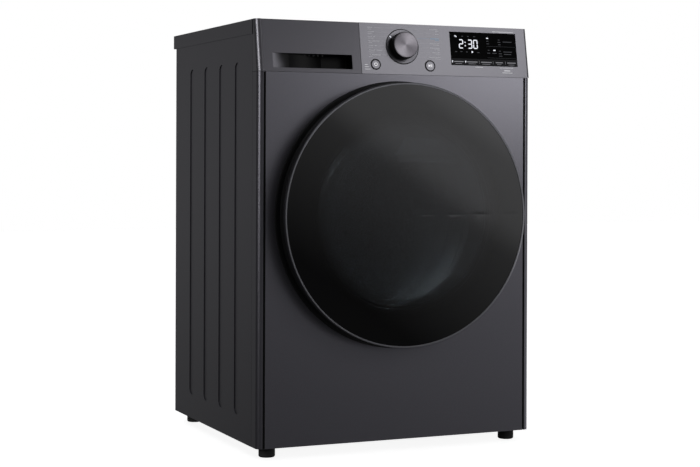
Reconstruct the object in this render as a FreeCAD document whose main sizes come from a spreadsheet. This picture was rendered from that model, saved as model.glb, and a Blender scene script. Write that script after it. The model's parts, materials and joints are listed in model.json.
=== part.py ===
import FreeCAD, Part
import math
import os
import re

import Sketcher

# A free-standing heat pump clothes dryer, in millimetres. +Z is up, the door faces -Y and +X is to the
# right of someone who stands in front of it. The origin is on the floor, under the middle of the whole machine.

Vector = FreeCAD.Vector
os.makedirs("parts", exist_ok=True)
doc = FreeCAD.newDocument("clothes_dryer")

# ----------------------------------------------------------------------------------------------------
# Driving sizes
# ----------------------------------------------------------------------------------------------------

SIZES = (
    ("cab_width", 600, "width over the lid"),
    ("cab_height", 850, "floor to the top of the lid"),
    ("side_depth", 519, "front face to the back edge of the side panels"),
    ("door_proud", 50, "door's foremost point in front of the front face"),
    ("lid_overhang", 15, "lid behind the side panels"),
    ("lid_height", 29, "height of the lid's skirt"),
    ("lid_proud", 1.2, "lid beyond each side panel"),
    ("lid_sheet", 3, "wall of the lid"),
    ("panel_height", 102.5, "height of the leaning control panel"),
    ("lean_back", 17.4, "how far the control panel leans back at its top"),
    ("wrap_depth", 32, "how far the front pieces wrap round to the sides"),
    ("steel_sheet", 1, "cabinet sheet"),
    ("fascia_sheet", 3, "moulded wall of the control panel"),
    ("panel_seam", 0.6, "open joint between cabinet pieces"),
    ("slip", 0.2, "assembly clearance"),
    ("soft_gap", 0.3, "clearance where moving or soft pieces all but touch"),
    ("run_gap", 0.05, "radial clearance of a shaft in its bearing"),
    ("crease_inset", 12, "crease beside each front corner, from the side"),
    ("crease_width", 3, "width of that crease"),
    ("crease_depth", 2.5, "depth of that crease"),
    ("side_flange", 13, "flange at the top and back of a side panel"),
    ("rib_first", 119, "first pressed channel of a side panel, from the front face"),
    ("rib_pitch", 95, "channel to channel"),
    ("rib_count", 4, "channels on a side panel"),
    ("rib_width", 28, "width of a channel"),
    ("rib_depth", 1.6, "depth of a channel"),
    ("rib_low", 72, "lower end of the channels above the floor"),
    ("rib_high", 770, "upper end of the channels above the floor"),
    ("foot_height", 21.4, "foot below the base"),
    ("foot_radius", 16.2, "foot pad"),
    ("stud_radius", 4, "foot's screw"),
    ("stud_length", 24, "screw above the pad"),
    ("foot_inset", 35, "foot's axis from the side"),
    ("foot_front", 37, "front foot's axis behind the front face"),
    ("foot_back", 34, "back foot's axis ahead of the back edge"),
    ("base_floor", 12.6, "ribbed floor of the base, as a plain slab"),
    ("base_wall", 28, "wall of the base above its floor"),
    ("base_sheet", 4, "thickness of that wall"),
    ("door_height", 469, "centre of the door and the drum above the floor"),
    ("glass_radius", 257, "door's outer glass"),
    ("glass_sheet", 4, "thickness of the outer glass"),
    ("glass_crown", 4.7, "how much the outer glass is crowned"),
    ("rim_width", 4, "bright ring round the glass"),
    ("rim_depth", 8, "depth of that ring"),
    ("door_back_gap", 6, "closed door's back in front of the front face"),
    ("door_back_inset", 1, "door's back edge, inside the glass edge"),
    ("door_wall", 3.5, "moulded wall of the door"),
    ("grip_curve", 16, "hollow round the door's side that fingers reach into"),
    ("bowl_clear", 14, "window bowl's rim, inside the loading opening"),
    ("bowl_reach", 38, "window bowl behind the front face"),
    ("bowl_sheet", 4, "thickness of the bowl"),
    ("hinge_inset", 8, "hinge pin inside the glass edge"),
    ("hinge_ahead", 25.5, "hinge pin in front of the front face"),
    ("pin_radius", 3, "hinge pin"),
    ("knuckle_radius", 6, "hinge knuckle"),
    ("hinge_half", 58, "half length of the hinge pin"),
    ("surround_margin", 8, "outer edge of the ring behind the door, beyond the glass"),
    ("surround_proud", 4, "that ring in front of the front face"),
    ("mouth_margin", 1, "edge of the hole in the front panel, beyond the glass"),
    ("throat_margin", 57, "edge of the loading opening, inside the glass edge"),
    ("collar_wall", 3, "wall of the collar round the loading opening"),
    ("front_plate", 70, "front drum support behind the front face"),
    ("plate_sheet", 4, "thickness of the drum supports"),
    ("back_plate", 470, "rear drum support behind the front face"),
    ("drum_radius", 275, "outside of the drum"),
    ("drum_sheet", 1, "drum wall"),
    ("drum_length", 379, "length of the drum's shell"),
    ("drum_lip", 35, "width of the lip at the drum's front"),
    ("lifter_count", 3, "paddles in the drum"),
    ("lifter_length", 310, "length of a paddle"),
    ("lifter_height", 50, "height of a paddle"),
    ("lifter_base", 64, "width of a paddle at the drum"),
    ("shaft_radius", 10, "drum shaft"),
    ("bush_radius", 16, "outside of the drum bearing"),
    ("roller_radius", 30, "drum roller"),
    ("roller_width", 20, "width of a drum roller"),
    ("roller_angle", 30, "roller's place round the drum, from straight down, in degrees"),
    ("axle_radius", 5, "roller axle"),
    ("filter_width", 150, "lint filter"),
    ("filter_depth", 24, "lint filter, front to back"),
    ("filter_height", 150, "lint filter"),
    ("filter_wall", 2.4, "wall of the lint filter and its housing"),
    ("motor_x", 170, "motor's axis to the right of the middle"),
    ("motor_height", 100, "motor's axis above the floor"),
    ("motor_radius", 55, "motor's housing"),
    ("motor_start", 200, "front of the motor behind the front face"),
    ("motor_length", 100, "length of the motor's housing"),
    ("rotor_radius", 6, "motor shaft"),
    ("pulley_radius", 12, "belt pulley"),
    ("belt_place", 315, "middle of the belt behind the front face"),
    ("belt_width", 8, "belt"),
    ("belt_thick", 2, "belt"),
    ("fan_radius", 66, "fan wheel"),
    ("fan_width", 34, "width of the fan wheel"),
    ("fan_blades", 12, "blades of the fan wheel"),
    ("compressor_radius", 50, "compressor"),
    ("compressor_height", 118, "compressor"),
    ("coil_width", 226, "heat exchanger"),
    ("coil_height", 116, "heat exchanger"),
    ("drawer_width", 205, "front of the tank drawer"),
    ("drawer_grip", 30, "depth of the drawer's front block"),
    ("tank_height", 80, "water tank"),
    ("tank_length", 430, "water tank"),
    ("tank_wall", 2.5, "water tank"),
    ("sleeve_wall", 2, "tank's sleeve"),
    ("knob_x", 11, "programme knob to the right of the middle"),
    ("knob_rise", 57.3, "programme knob up the control panel"),
    ("knob_radius", 27.5, "programme knob"),
    ("knob_proud", 18, "knob in front of the panel"),
    ("ring_radius", 35.4, "ring round the knob"),
    ("power_x", -50, "power button from the middle"),
    ("power_radius", 9.6, "power button"),
    ("start_x", 70, "start button from the middle"),
    ("start_radius", 10.2, "start button"),
    ("button_rise", 19.2, "buttons up the control panel"),
    ("button_gap", 0.5, "open ring round a button"),
    ("display_left", 119, "display window"),
    ("display_right", 272, "display window"),
    ("display_low", 22.8, "display window up the control panel"),
    ("display_high", 92.1, "display window up the control panel"),
    ("display_sheet", 1.5, "thickness of the display window"),
    ("screw_radius", 4.5, "cabinet screw's head"),
)

sheet = doc.addObject("Spreadsheet::Sheet", "Sizes")
for row, (alias, number, meaning) in enumerate(SIZES, start=1):
    sheet.set(f"A{row}", alias)
    sheet.set(f"B{row}", str(number))
    sheet.set(f"C{row}", meaning)
    sheet.setAlias(f"B{row}", alias)
doc.recompute()

size_names = {alias for alias, number, meaning in SIZES}
place_names = set()
places = doc.addObject("App::VarSet", "Places")


def linked(text):
    """The expression with each named size pointed at the sheet, and each worked-out place at Places."""

    def owned(match):
        word = match.group(0)
        if word in size_names:
            return "Sizes." + word
        return "Places." + word if word in place_names else word

    return re.sub(r"[A-Za-z_][A-Za-z_0-9]*", owned, str(text))


def number(text):
    """What an expression is worth now."""
    found = sheet.evalExpression(linked(text))
    return float(getattr(found, "Value", found))


def bind(thing, name, text):
    thing.setExpression(name, linked(text))


def place(name, text):
    """A value worked out from the driving sizes."""
    places.addProperty("App::PropertyFloat", name)
    bind(places, name, text)
    place_names.add(name)
    places.recompute()


# The main planes of the machine.
place("front_face", "door_proud - (door_proud + side_depth + lid_overhang)/2")
place("back_edge", "front_face + side_depth")
place("side_half", "cab_width/2 - lid_proud")
place("inner_half", "side_half - steel_sheet")
place("lid_bottom", "cab_height - lid_height")
place("panel_base", "cab_height - panel_height")
place("slope", "sqrt(panel_height*panel_height + lean_back*lean_back)")
place("lean_sin", "lean_back/slope")
place("lean_cos", "panel_height/slope")
place("base_top", "foot_height + base_floor")
place("base_rim", "base_top + base_wall")
place("wrap_end", "front_face + wrap_depth")
place("side_start", "wrap_end + panel_seam")
place("back_sheet", "back_edge - slip - steel_sheet")
# The door, whose pieces are round its own axis.
place("glass_seat", "door_proud - glass_crown - glass_sheet")
place("rim_radius", "glass_radius + rim_width")
place("door_back_radius", "glass_radius - door_back_inset")
place("surround_radius", "glass_radius + surround_margin")
place("mouth_radius", "glass_radius + mouth_margin")
place("throat_radius", "glass_radius - throat_margin")
place("bowl_radius", "throat_radius - bowl_clear")
place("rim_back", "glass_seat - 3")
place("frame_step", "door_back_gap + door_wall")
place("hinge_x", "glass_radius - hinge_inset")
place("hinge_y", "front_face - hinge_ahead")
# The drum, its supports and its drive.
place("drum_start", "front_face + front_plate + plate_sheet + 1.6")
place("drum_end", "drum_start + drum_length")
place("drum_inner", "drum_radius - drum_sheet")
place("drum_lip_radius", "drum_radius - drum_lip")
place("roller_reach", "drum_radius + soft_gap + roller_radius")
place("roller_x", "roller_reach*sin(roller_angle)")
place("roller_z", "door_height - roller_reach*cos(roller_angle)")
place("filter_back", "front_face + front_plate - filter_wall - slip")
place("filter_front", "filter_back - filter_depth")
place("housing_half", "filter_width/2 + slip + filter_wall")
place("filter_low", "door_height - throat_radius - 1 - filter_height")
place("fan_start", "front_face + back_plate - 10 - fan_width")
# The tank drawer.
place("drawer_left", "-side_half + crease_inset")
place("drawer_right", "drawer_left + drawer_width")
place("tank_low", "panel_base + 9.5")
place("tank_left", "drawer_left + 6")
place("tank_right", "drawer_right - 10")


# ----------------------------------------------------------------------------------------------------
# Making shapes
# ----------------------------------------------------------------------------------------------------

ROLES = {"xy": "XY_Plane", "xz": "XZ_Plane", "yz": "YZ_Plane"}
ALONG = {
    "x": FreeCAD.Rotation(Vector(0, 1, 0), 90),
    "y": FreeCAD.Rotation(Vector(1, 0, 0), -90),
    "z": FreeCAD.Rotation(),
}


def circle(x, y, radius):
    return {"x": x, "y": y, "radius": radius}


def rectangle(left, right, low, high):
    return [(left, low), (right, low), (right, high), (left, high)]


def hold(sketch, constraint, text):
    """Adds a dimension to a sketch and ties it to an expression."""
    index = sketch.addConstraint(constraint)
    sketch.setExpression(f"Constraints[{index}]", linked(text))


def hold_point(sketch, geometry, vertex, x, y):
    hold(sketch, Sketcher.Constraint("DistanceX", -1, 1, geometry, vertex, number(x)), x)
    hold(sketch, Sketcher.Constraint("DistanceY", -1, 1, geometry, vertex, number(y)), y)


def arc_between(start, end, radius, side):
    """The short arc of a radius from start to end, bulging to its left (side 1) or its right (side -1)."""
    chord = end - start
    half = chord.Length / 2
    across = Vector(-chord.y, chord.x, 0).normalize() * side
    centre = (start + end) * 0.5 - across * math.sqrt(max(radius * radius - half * half, 0))
    first, last = (end, start) if side > 0 else (start, end)
    low = math.atan2(first.y - centre.y, first.x - centre.x)
    high = math.atan2(last.y - centre.y, last.x - centre.x)
    if high < low:
        high += 2 * math.pi
    return Part.ArcOfCircle(Part.Circle(centre, Vector(0, 0, 1), radius), low, high)


def draw_outline(sketch, points):
    """A closed outline of (x, y) points; (x, y, radius, side) is reached by an arc."""
    spots = [Vector(number(point[0]), number(point[1]), 0) for point in points]
    ends = []
    for here, point in enumerate(points):
        start, end = spots[here - 1], spots[here]
        if len(point) == 2:
            index = sketch.addGeometry(Part.LineSegment(start, end))
            ends.append((index, 1, 2))
            continue
        index = sketch.addGeometry(arc_between(start, end, number(point[2]), point[3]))
        ends.append((index, 2, 1) if point[3] > 0 else (index, 1, 2))
    for here, point in enumerate(points):
        index, first, last = ends[here]
        following = ends[(here + 1) % len(points)]
        sketch.addConstraint(Sketcher.Constraint("Coincident", index, last, following[0], following[1]))
        hold_point(sketch, index, last, point[0], point[1])
        if len(point) == 4:
            hold(sketch, Sketcher.Constraint("Radius", index, number(point[2])), point[2])


def draw(body, plane, loops, offset="0"):
    """A sketch of outlines and circles on one of the body's own planes."""
    sketch = body.newObject("Sketcher::SketchObject", body.Name + "_sketch")
    role = ROLES[plane]
    sketch.AttachmentSupport = [(next(f for f in body.Origin.OriginFeatures if f.Role == role), "")]
    sketch.MapMode = "FlatFace"
    bind(sketch, "AttachmentOffset.Base.z", offset)
    for loop in loops:
        if isinstance(loop, list):
            draw_outline(sketch, loop)
            continue
        spot = Vector(number(loop["x"]), number(loop["y"]), 0)
        index = sketch.addGeometry(Part.Circle(spot, Vector(0, 0, 1), number(loop["radius"])))
        hold(sketch, Sketcher.Constraint("Radius", index, number(loop["radius"])), loop["radius"])
        hold_point(sketch, index, 3, loop["x"], loop["y"])
    return sketch


def new_body(name):
    return doc.addObject("PartDesign::Body", name)


def pad(body, plane, loops, low, high):
    """Material between two distances along the plane's own axis."""
    offset = f"-({high})" if plane == "xz" else low
    feature = body.newObject("PartDesign::Pad", body.Name + "_pad")
    feature.Profile = draw(body, plane, loops, offset)
    bind(feature, "Length", f"({high}) - ({low})")
    return feature


def pocket(body, plane, loops, low, high):
    """Takes away what lies between two distances along the plane's own axis."""
    offset = f"-({low})" if plane == "xz" else high
    feature = body.newObject("PartDesign::Pocket", body.Name + "_pocket")
    feature.Profile = draw(body, plane, loops, offset)
    bind(feature, "Length", f"({high}) - ({low})")
    return feature


def revolve(body, plane, points):
    """A ring from an outline of (radius, distance along the axis); the axis is Y on xy and Z on xz."""
    feature = body.newObject("PartDesign::Revolution", body.Name + "_turned")
    feature.Profile = draw(body, plane, [points])
    feature.ReferenceAxis = (feature.Profile[0], ["V_Axis"])
    feature.Angle = 360
    return feature


def around_y(body, feature, count):
    """Repeats a feature round the body's Y axis."""
    pattern = body.newObject("PartDesign::PolarPattern", body.Name + "_round")
    pattern.Originals = [feature]
    pattern.Axis = (feature.Profile[0], ["N_Axis"])
    pattern.Angle = 360
    bind(pattern, "Occurrences", count)
    body.Tip = pattern
    return pattern


def round_edges(body, radius, chosen):
    """Rounds the body's edges whose middle point is chosen."""
    doc.recompute()
    last = body.Tip
    names = []
    for index, edge in enumerate(last.Shape.Edges, start=1):
        middle = edge.valueAt((edge.FirstParameter + edge.LastParameter) / 2)
        if chosen(edge, middle):
            names.append(f"Edge{index}")
    fillet = body.newObject("PartDesign::Fillet", body.Name + "_fillet")
    fillet.Base = (last, names)
    bind(fillet, "Radius", radius)


def upright(edge):
    """Whether an edge runs mostly along Z."""
    run = edge.Vertexes[-1].Point - edge.Vertexes[0].Point
    return abs(run.z) > 0.9 * max(run.Length, 1e-9)


def stand(thing, x="0", y="0", z="0"):
    for axis, text in zip("xyz", (x, y, z)):
        bind(thing, "Placement.Base." + axis, text)
    return thing


def lean(body, x="0", rise="0"):
    """Stands a body on the control panel, whose own frame is X, inwards and up the slope."""
    bind(
        body,
        "Placement",
        f"placement(vector({x}; front_face + ({rise})*lean_sin; panel_base + ({rise})*lean_cos);"
        " rotation(vector(1; 0; 0); -atan(lean_back/panel_height)))",
    )
    return body


def on_door(body):
    """Turned pieces of the door, the throat and the drum share one axis."""
    return stand(body, "0", "front_face", "door_height")


def block(name, x, y, z):
    """A box between (low, high) pairs."""
    thing = doc.addObject("Part::Box", name)
    for side, (low, high) in zip(("Length", "Width", "Height"), (x, y, z)):
        bind(thing, side, f"({high}) - ({low})")
    return stand(thing, x[0], y[0], z[0])


def rod(name, axis, radius, x, y, z, length):
    """A cylinder that starts at x, y, z and runs along an axis."""
    thing = doc.addObject("Part::Cylinder", name)
    thing.Placement = FreeCAD.Placement(Vector(), ALONG[axis])
    bind(thing, "Radius", radius)
    bind(thing, "Height", length)
    return stand(thing, x, y, z)


def cut(name, base, tools):
    result = doc.addObject("Part::Cut", name)
    result.Base = base
    result.Tool = tools[0] if len(tools) == 1 else fuse(name + "_tools", tools)
    return result


def fuse(name, pieces):
    result = doc.addObject("Part::MultiFuse", name)
    result.Shapes = pieces
    return result


def group(name, pieces):
    """Several separate solids as one piece of the list."""
    result = doc.addObject("Part::Compound", name)
    result.Links = pieces
    return result


def bent_tube(name, radius, bend, points):
    """A round solid along straight runs that are joined by tangent arcs."""
    spots = [Vector(*(number(value) for value in point)) for point in points]
    radius, bend = number(radius), number(bend)
    edges = []
    start = spots[0]
    for here in range(1, len(spots) - 1):
        before = (spots[here - 1] - spots[here]).normalize()
        after = (spots[here + 1] - spots[here]).normalize()
        half_turn = before.getAngle(after) / 2
        reach = bend / math.tan(half_turn)
        into, out = spots[here] + before * reach, spots[here] + after * reach
        bisector = (before + after).normalize()
        centre = spots[here] + bisector * (bend / math.sin(half_turn))
        edges.append(Part.LineSegment(start, into).toShape())
        edges.append(Part.Arc(into, centre - bisector * bend, out).toShape())
        start = out
    edges.append(Part.LineSegment(start, spots[-1]).toShape())
    profile = Part.Wire(Part.Circle(spots[0], spots[1] - spots[0], radius).toShape())
    thing = doc.addObject("Part::Feature", name)
    thing.Shape = Part.Wire(edges).makePipeShell([profile], True, False)
    return thing


subparts = []


def piece(name, thing):
    """Puts a finished sub-part on the list of those that are written out."""
    thing.Label = name
    subparts.append(thing)
    return thing


SIDES = (("left", -1), ("right", 1))


# ----------------------------------------------------------------------------------------------------
# Base and feet
# ----------------------------------------------------------------------------------------------------

FEET = {
    f"foot_{end}_{side}": (f"{sign}*(cab_width/2 - foot_inset)", y)
    for side, sign in SIDES
    for end, y in (("front", "front_face + foot_front"), ("back", "back_edge - foot_back"))
}
BASE_FRONT, BASE_BACK = "front_face + crease_depth + steel_sheet + slip", "back_sheet - slip"


def make_base():
    body = new_body("base")
    floor = rectangle("-inner_half + slip", "inner_half - slip", BASE_FRONT, BASE_BACK)
    hollow = rectangle(
        "-inner_half + slip + base_sheet",
        "inner_half - slip - base_sheet",
        f"{BASE_FRONT} + base_sheet",
        f"{BASE_BACK} - base_sheet",
    )
    pad(body, "xy", [floor], "foot_height", "base_rim")
    side, front = number("inner_half - slip"), number(BASE_FRONT)
    round_edges(
        body,
        "crease_inset - 2.4",
        lambda edge, middle: upright(edge)
        and abs(abs(middle.x) - side) < 0.01
        and abs(middle.y - front) < 0.01,
    )
    pocket(body, "xy", [hollow], "base_top", "base_rim")
    for x, y in FEET.values():
        boss = circle(x, y, "stud_radius + 6")
        pad(body, "xy", [boss], "base_top - 1", "foot_height + stud_length + 5")
    for x, y in FEET.values():
        bore = circle(x, y, "stud_radius + run_gap")
        pocket(body, "xy", [bore], "foot_height", "foot_height + stud_length + 1")
    piece("base_frame", body)


def make_feet():
    for name, (x, y) in FEET.items():
        body = new_body(name)
        outline = [
            ("0", "0"),
            ("foot_radius - 3", "0"),
            ("foot_radius", "3", "3.2", -1),
            ("foot_radius", "foot_height - 5"),
            ("foot_radius - 1.5", "foot_height - 3"),
            ("foot_radius - 1.5", "foot_height"),
            ("stud_radius", "foot_height"),
            ("stud_radius", "foot_height + stud_length - 1"),
            ("stud_radius - 1", "foot_height + stud_length"),
            ("0", "foot_height + stud_length"),
        ]
        revolve(body, "xz", outline)
        piece(name, stand(body, x, y))


# ----------------------------------------------------------------------------------------------------
# Cabinet sheets
# ----------------------------------------------------------------------------------------------------

SCREW_ROWS = 5


def screw_spots():
    """Screws down both edges of the back panel."""
    for side, sign in SIDES:
        for row in range(SCREW_ROWS):
            height = f"base_rim + 24 + {row}*(lid_bottom - base_rim - 48)/{SCREW_ROWS - 1}"
            yield f"{side}_{row}", f"{sign}*(inner_half - side_flange/2)", height


def screw_holes(tag):
    return [
        rod(f"{tag}_hole_{name}", "y", "2.2", x, "back_sheet - 2*steel_sheet", z, "4*steel_sheet")
        for name, x, z in screw_spots()
    ]


def make_side_panel(side, sign):
    """A pressed sheet with upright channels, and flanges at its top and back."""
    body = new_body("side_" + side)
    skin = ("side_half - steel_sheet", "side_half") if sign > 0 else ("-side_half", "-inner_half")
    pad(body, "yz", [rectangle("side_start", "back_edge", "foot_height", "lid_bottom")], *skin)
    inward = ("inner_half - rib_depth", "inner_half")
    if sign < 0:
        inward = ("-inner_half", "rib_depth - inner_half")
    outward = ("side_half - rib_depth", "side_half") if sign > 0 else ("-side_half", "rib_depth - side_half")
    for channel in range(round(number("rib_count"))):
        middle = f"front_face + rib_first + {channel}*rib_pitch"
        pad(body, "yz", [channel_outline(middle, "rib_width/2 + steel_sheet", "steel_sheet")], *inward)
        pocket(body, "yz", [channel_outline(middle, "rib_width/2", "0")], *outward)
    flange = ("inner_half - side_flange", "inner_half")
    if sign < 0:
        flange = ("-inner_half", "side_flange - inner_half")
    pad(body, "xy", [rectangle(*flange, "side_start + 12", "back_sheet - steel_sheet")],
        "lid_bottom - steel_sheet", "lid_bottom")
    pad(body, "xy", [rectangle(*flange, "back_sheet - steel_sheet", "back_sheet")],
        "base_rim + 1", "lid_bottom")
    return cut("side_panel_" + side + "_drilled", body, screw_holes("side_" + side))


def channel_outline(middle, half, grow):
    """An upright channel with rounded ends."""
    low, high = f"rib_low - {grow}", f"rib_high + {grow}"
    left, right = f"{middle} - ({half})", f"{middle} + {half}"
    return [
        (left, f"{high} - rib_width/3"),
        (right, f"{high} - rib_width/3", f"1.1*({half})", 1),
        (right, f"{low} + rib_width/3"),
        (left, f"{low} + rib_width/3", f"1.1*({half})", 1),
    ]


def make_sides():
    for side, sign in SIDES:
        piece("side_panel_" + side, make_side_panel(side, sign))


def make_back_panel():
    """A flat sheet with a service hole, cooling slots and its screws."""
    body = new_body("back")
    outline = rectangle("-inner_half + slip", "inner_half - slip", "foot_height + 20", "lid_bottom - slip")
    hole = circle("0", "door_height", "throat_radius - 15")
    pad(body, "xz", [outline, hole], "back_sheet", "back_sheet + steel_sheet")
    slots = []
    for column in range(2):
        for row in range(9):
            left = f"-inner_half + 60 + {column}*80"
            low = f"base_rim + 20 + {row}*9"
            slots.append(rectangle(left, f"{left} + 60", low, f"{low} + 3.4"))
    pocket(body, "xz", slots, "back_sheet", "back_sheet + steel_sheet")
    piece("back_panel", cut("back_drilled", body, screw_holes("back")))
    screws = []
    for name, x, z in screw_spots():
        head = rod(f"screw_head_{name}", "y", "screw_radius", x, "back_sheet + steel_sheet", z, "2.6")
        shank = rod(f"screw_shank_{name}", "y", "2", x, "back_sheet - 8", z, "9 + steel_sheet")
        screws.append(fuse("screw_" + name, [head, shank]))
    piece("cabinet_screws", group("screws", screws))


def make_rear_cover():
    """A round dished cover over the service hole in the back panel."""
    body = new_body("rear_cover")
    outline = [
        ("0", "lid_overhang - 3"),
        ("throat_radius - 20", "lid_overhang - 3"),
        ("throat_radius - 8", "2.5"),
        ("throat_radius + 4", "2.5"),
        ("throat_radius + 4", "0"),
        ("throat_radius - 11", "0"),
        ("throat_radius - 22", "lid_overhang - 5.5"),
        ("0", "lid_overhang - 5.5"),
    ]
    revolve(body, "xy", outline)
    piece("rear_duct_cover", stand(body, "0", "back_sheet + steel_sheet", "door_height"))


def make_power_inlet():
    """The gland that the mains lead would leave by."""
    body = new_body("inlet")
    back = "back_sheet + steel_sheet"
    pad(body, "xz", [rectangle("-24", "24", "-16", "16")], back, f"{back} + 4")
    round_edges(body, "5", lambda edge, middle: abs(edge.Length - 4) < 0.01)
    pad(body, "xz", [circle("0", "0", "11")], f"{back} + 3.5", f"{back} + 12")
    pocket(body, "xz", [circle("0", "0", "4.2")], f"{back} + 2", f"{back} + 13")
    piece("power_inlet", stand(body, "inner_half - 70", "0", "lid_bottom - 50"))


def make_lid():
    body = new_body("lid")
    front, back = "side_start", "back_edge + lid_overhang"
    pad(body, "xy", [rectangle("-cab_width/2", "cab_width/2", front, back)], "lid_bottom", "cab_height")
    hollow = rectangle("-cab_width/2 + lid_sheet", "cab_width/2 - lid_sheet", front, f"{back} - lid_sheet")
    pocket(body, "xy", [hollow], "lid_bottom", "cab_height - lid_sheet")
    round_edges(
        body,
        "1.5",
        lambda edge, middle: middle.z > number("cab_height") - 0.01 and middle.y > number("side_start") + 1,
    )
    piece("top_panel", body)


def make_front_panel():
    """One pressed sheet: rounded corners, a crease beside each, side wraps and the round mouth."""
    body = new_body("front")
    half, skin = "side_half", "steel_sheet"
    face = "front_face"
    crease_out, crease_in = f"{half} - crease_inset", f"{half} - crease_inset - crease_width"

    def outer(sign):
        """Half of the sheet's outside, from the side wrap to the middle."""
        s = f"{sign}*"
        return [
            (f"{s}({half})", "wrap_end"),
            (f"{s}({half})", face),
            (f"{s}({crease_out})", face),
            (f"{s}({crease_out})", f"{face} + crease_depth"),
            (f"{s}({crease_in})", f"{face} + crease_depth"),
            (f"{s}({crease_in})", face),
        ]

    def inner(sign):
        s = f"{sign}*"
        return [
            (f"{s}({half} - {skin})", "wrap_end"),
            (f"{s}({half} - {skin})", f"{face} + {skin}"),
            (f"{s}({crease_out} + {skin})", f"{face} + {skin}"),
            (f"{s}({crease_out} + {skin})", f"{face} + crease_depth + {skin}"),
            (f"{s}({crease_in} - {skin})", f"{face} + crease_depth + {skin}"),
            (f"{s}({crease_in} - {skin})", f"{face} + {skin}"),
        ]

    loop = outer(-1) + outer(1)[::-1] + inner(1) + inner(-1)[::-1]
    pad(body, "xy", [loop], "foot_height + slip", "panel_base - panel_seam/2")
    side, front = number("side_half"), number("front_face")
    round_edges(
        body,
        "crease_inset - 1.2",
        lambda edge, middle: upright(edge)
        and abs(abs(middle.x) - side) < 0.01
        and abs(middle.y - front) < 0.01,
    )
    inner_side, inner_front = side - number("steel_sheet"), front + number("steel_sheet")
    round_edges(
        body,
        "crease_inset - 1.2 - steel_sheet",
        lambda edge, middle: upright(edge)
        and abs(abs(middle.x) - inner_side) < 0.01
        and abs(middle.y - inner_front) < 0.01,
    )
    pocket(body, "xz", [circle("0", "door_height", "mouth_radius")], face, f"{face} + crease_depth")
    piece("front_panel", body)


def make_surround():
    """The black ring between the front panel and the loading opening, cut for the hinge and the latch."""
    body = new_body("surround")
    outline = [
        ("surround_radius", "0"),
        ("surround_radius", "1.5 - surround_proud"),
        ("surround_radius - 1.5", "-surround_proud"),
        ("throat_radius + 16", "-surround_proud"),
        ("throat_radius + 16", "1 - surround_proud"),
        ("throat_radius + 6.5", "1 - surround_proud"),
        ("throat_radius + 6.5", "12"),
        ("throat_radius + 9", "12"),
        ("throat_radius + 9", "0"),
    ]
    revolve(body, "xy", outline)
    window = rectangle("hinge_x - knuckle_radius - 3", "hinge_x + knuckle_radius + 3", "-31", "31")
    slot = rectangle("-throat_radius - 43", "-throat_radius - 27", "-15", "15")
    pocket(body, "xz", [window, slot], "-surround_proud", "1")
    piece("door_surround", on_door(body))


def make_gasket():
    """The soft ring that the closed door all but touches."""
    body = new_body("gasket")
    outline = [
        ("throat_radius + 1", "soft_gap - door_back_gap"),
        ("throat_radius + 14", "soft_gap - door_back_gap"),
        ("throat_radius + 14", "1 - surround_proud"),
        ("throat_radius + 6.3", "1 - surround_proud"),
        ("throat_radius + 6.3", "8"),
        ("throat_radius + collar_wall + 0.2", "8"),
        ("throat_radius + collar_wall + 0.2", "1 - surround_proud"),
        ("throat_radius + 1", "1 - surround_proud"),
    ]
    revolve(body, "xy", outline)
    piece("door_gasket", on_door(body))


# ----------------------------------------------------------------------------------------------------
# Door
# ----------------------------------------------------------------------------------------------------

POLE = "8"  # flat spot at the middle of a crowned disc


def make_door_glass():
    body = new_body("glass")
    crown = "(glass_radius*glass_radius + glass_crown*glass_crown)/(2*glass_crown)"
    outline = [
        ("0", "-door_proud"),
        (POLE, "-door_proud"),
        ("glass_radius", "glass_crown - door_proud", crown, -1),
        ("glass_radius", "-glass_seat"),
        (POLE, "glass_sheet - door_proud", crown, 1),
        ("0", "glass_sheet - door_proud"),
    ]
    revolve(body, "xy", outline)
    piece("door_glass", on_door(body))


def make_door_rim():
    body = new_body("rim")
    inner = "glass_radius + 0.2"
    outline = [
        (inner, "-rim_back - rim_depth"),
        ("rim_radius - 1.2", "-rim_back - rim_depth"),
        ("rim_radius", "1.2 - rim_back - rim_depth"),
        ("rim_radius", "-rim_back"),
        (inner, "-rim_back"),
    ]
    revolve(body, "xy", outline)
    piece("door_rim", on_door(body))


def make_door_shell():
    """The black moulded ring whose hollow side is the door's grip all round."""
    body = new_body("shell")
    inside = "glass_radius - 13"
    outline = [
        ("glass_radius - 21", "-glass_seat"),
        ("glass_radius", "-glass_seat"),
        ("glass_radius", "-rim_back"),
        ("rim_radius", "-rim_back"),
        ("rim_radius", "3.5 - rim_back"),
        ("door_back_radius", "-door_back_gap", "grip_curve", 1),
        ("glass_radius - 31", "-door_back_gap"),
        ("glass_radius - 31", "-frame_step"),
        (inside, "-frame_step"),
        (inside, "5 - glass_seat"),
        ("glass_radius - 21", "5 - glass_seat"),
    ]
    revolve(body, "xy", outline)
    hinge_room = rectangle("hinge_x - 19", "rim_radius + 5", "-hinge_half - 2", "hinge_half + 2")
    pocket(body, "xz", [hinge_room], "1.5 - rim_back", "1 - door_back_gap")
    piece("door_shell", on_door(body))


def make_door_inner_frame():
    body = new_body("inner_frame")
    outline = [
        ("bowl_radius + 4", "-door_back_gap"),
        ("glass_radius - 31.3", "-door_back_gap"),
        ("glass_radius - 31.3", "-frame_step"),
        ("glass_radius - 17", "-frame_step"),
        ("glass_radius - 17", "-frame_step - door_wall"),
        ("bowl_radius + 4", "-frame_step - door_wall"),
    ]
    revolve(body, "xy", outline)
    piece("door_inner_frame", on_door(body))


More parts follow.
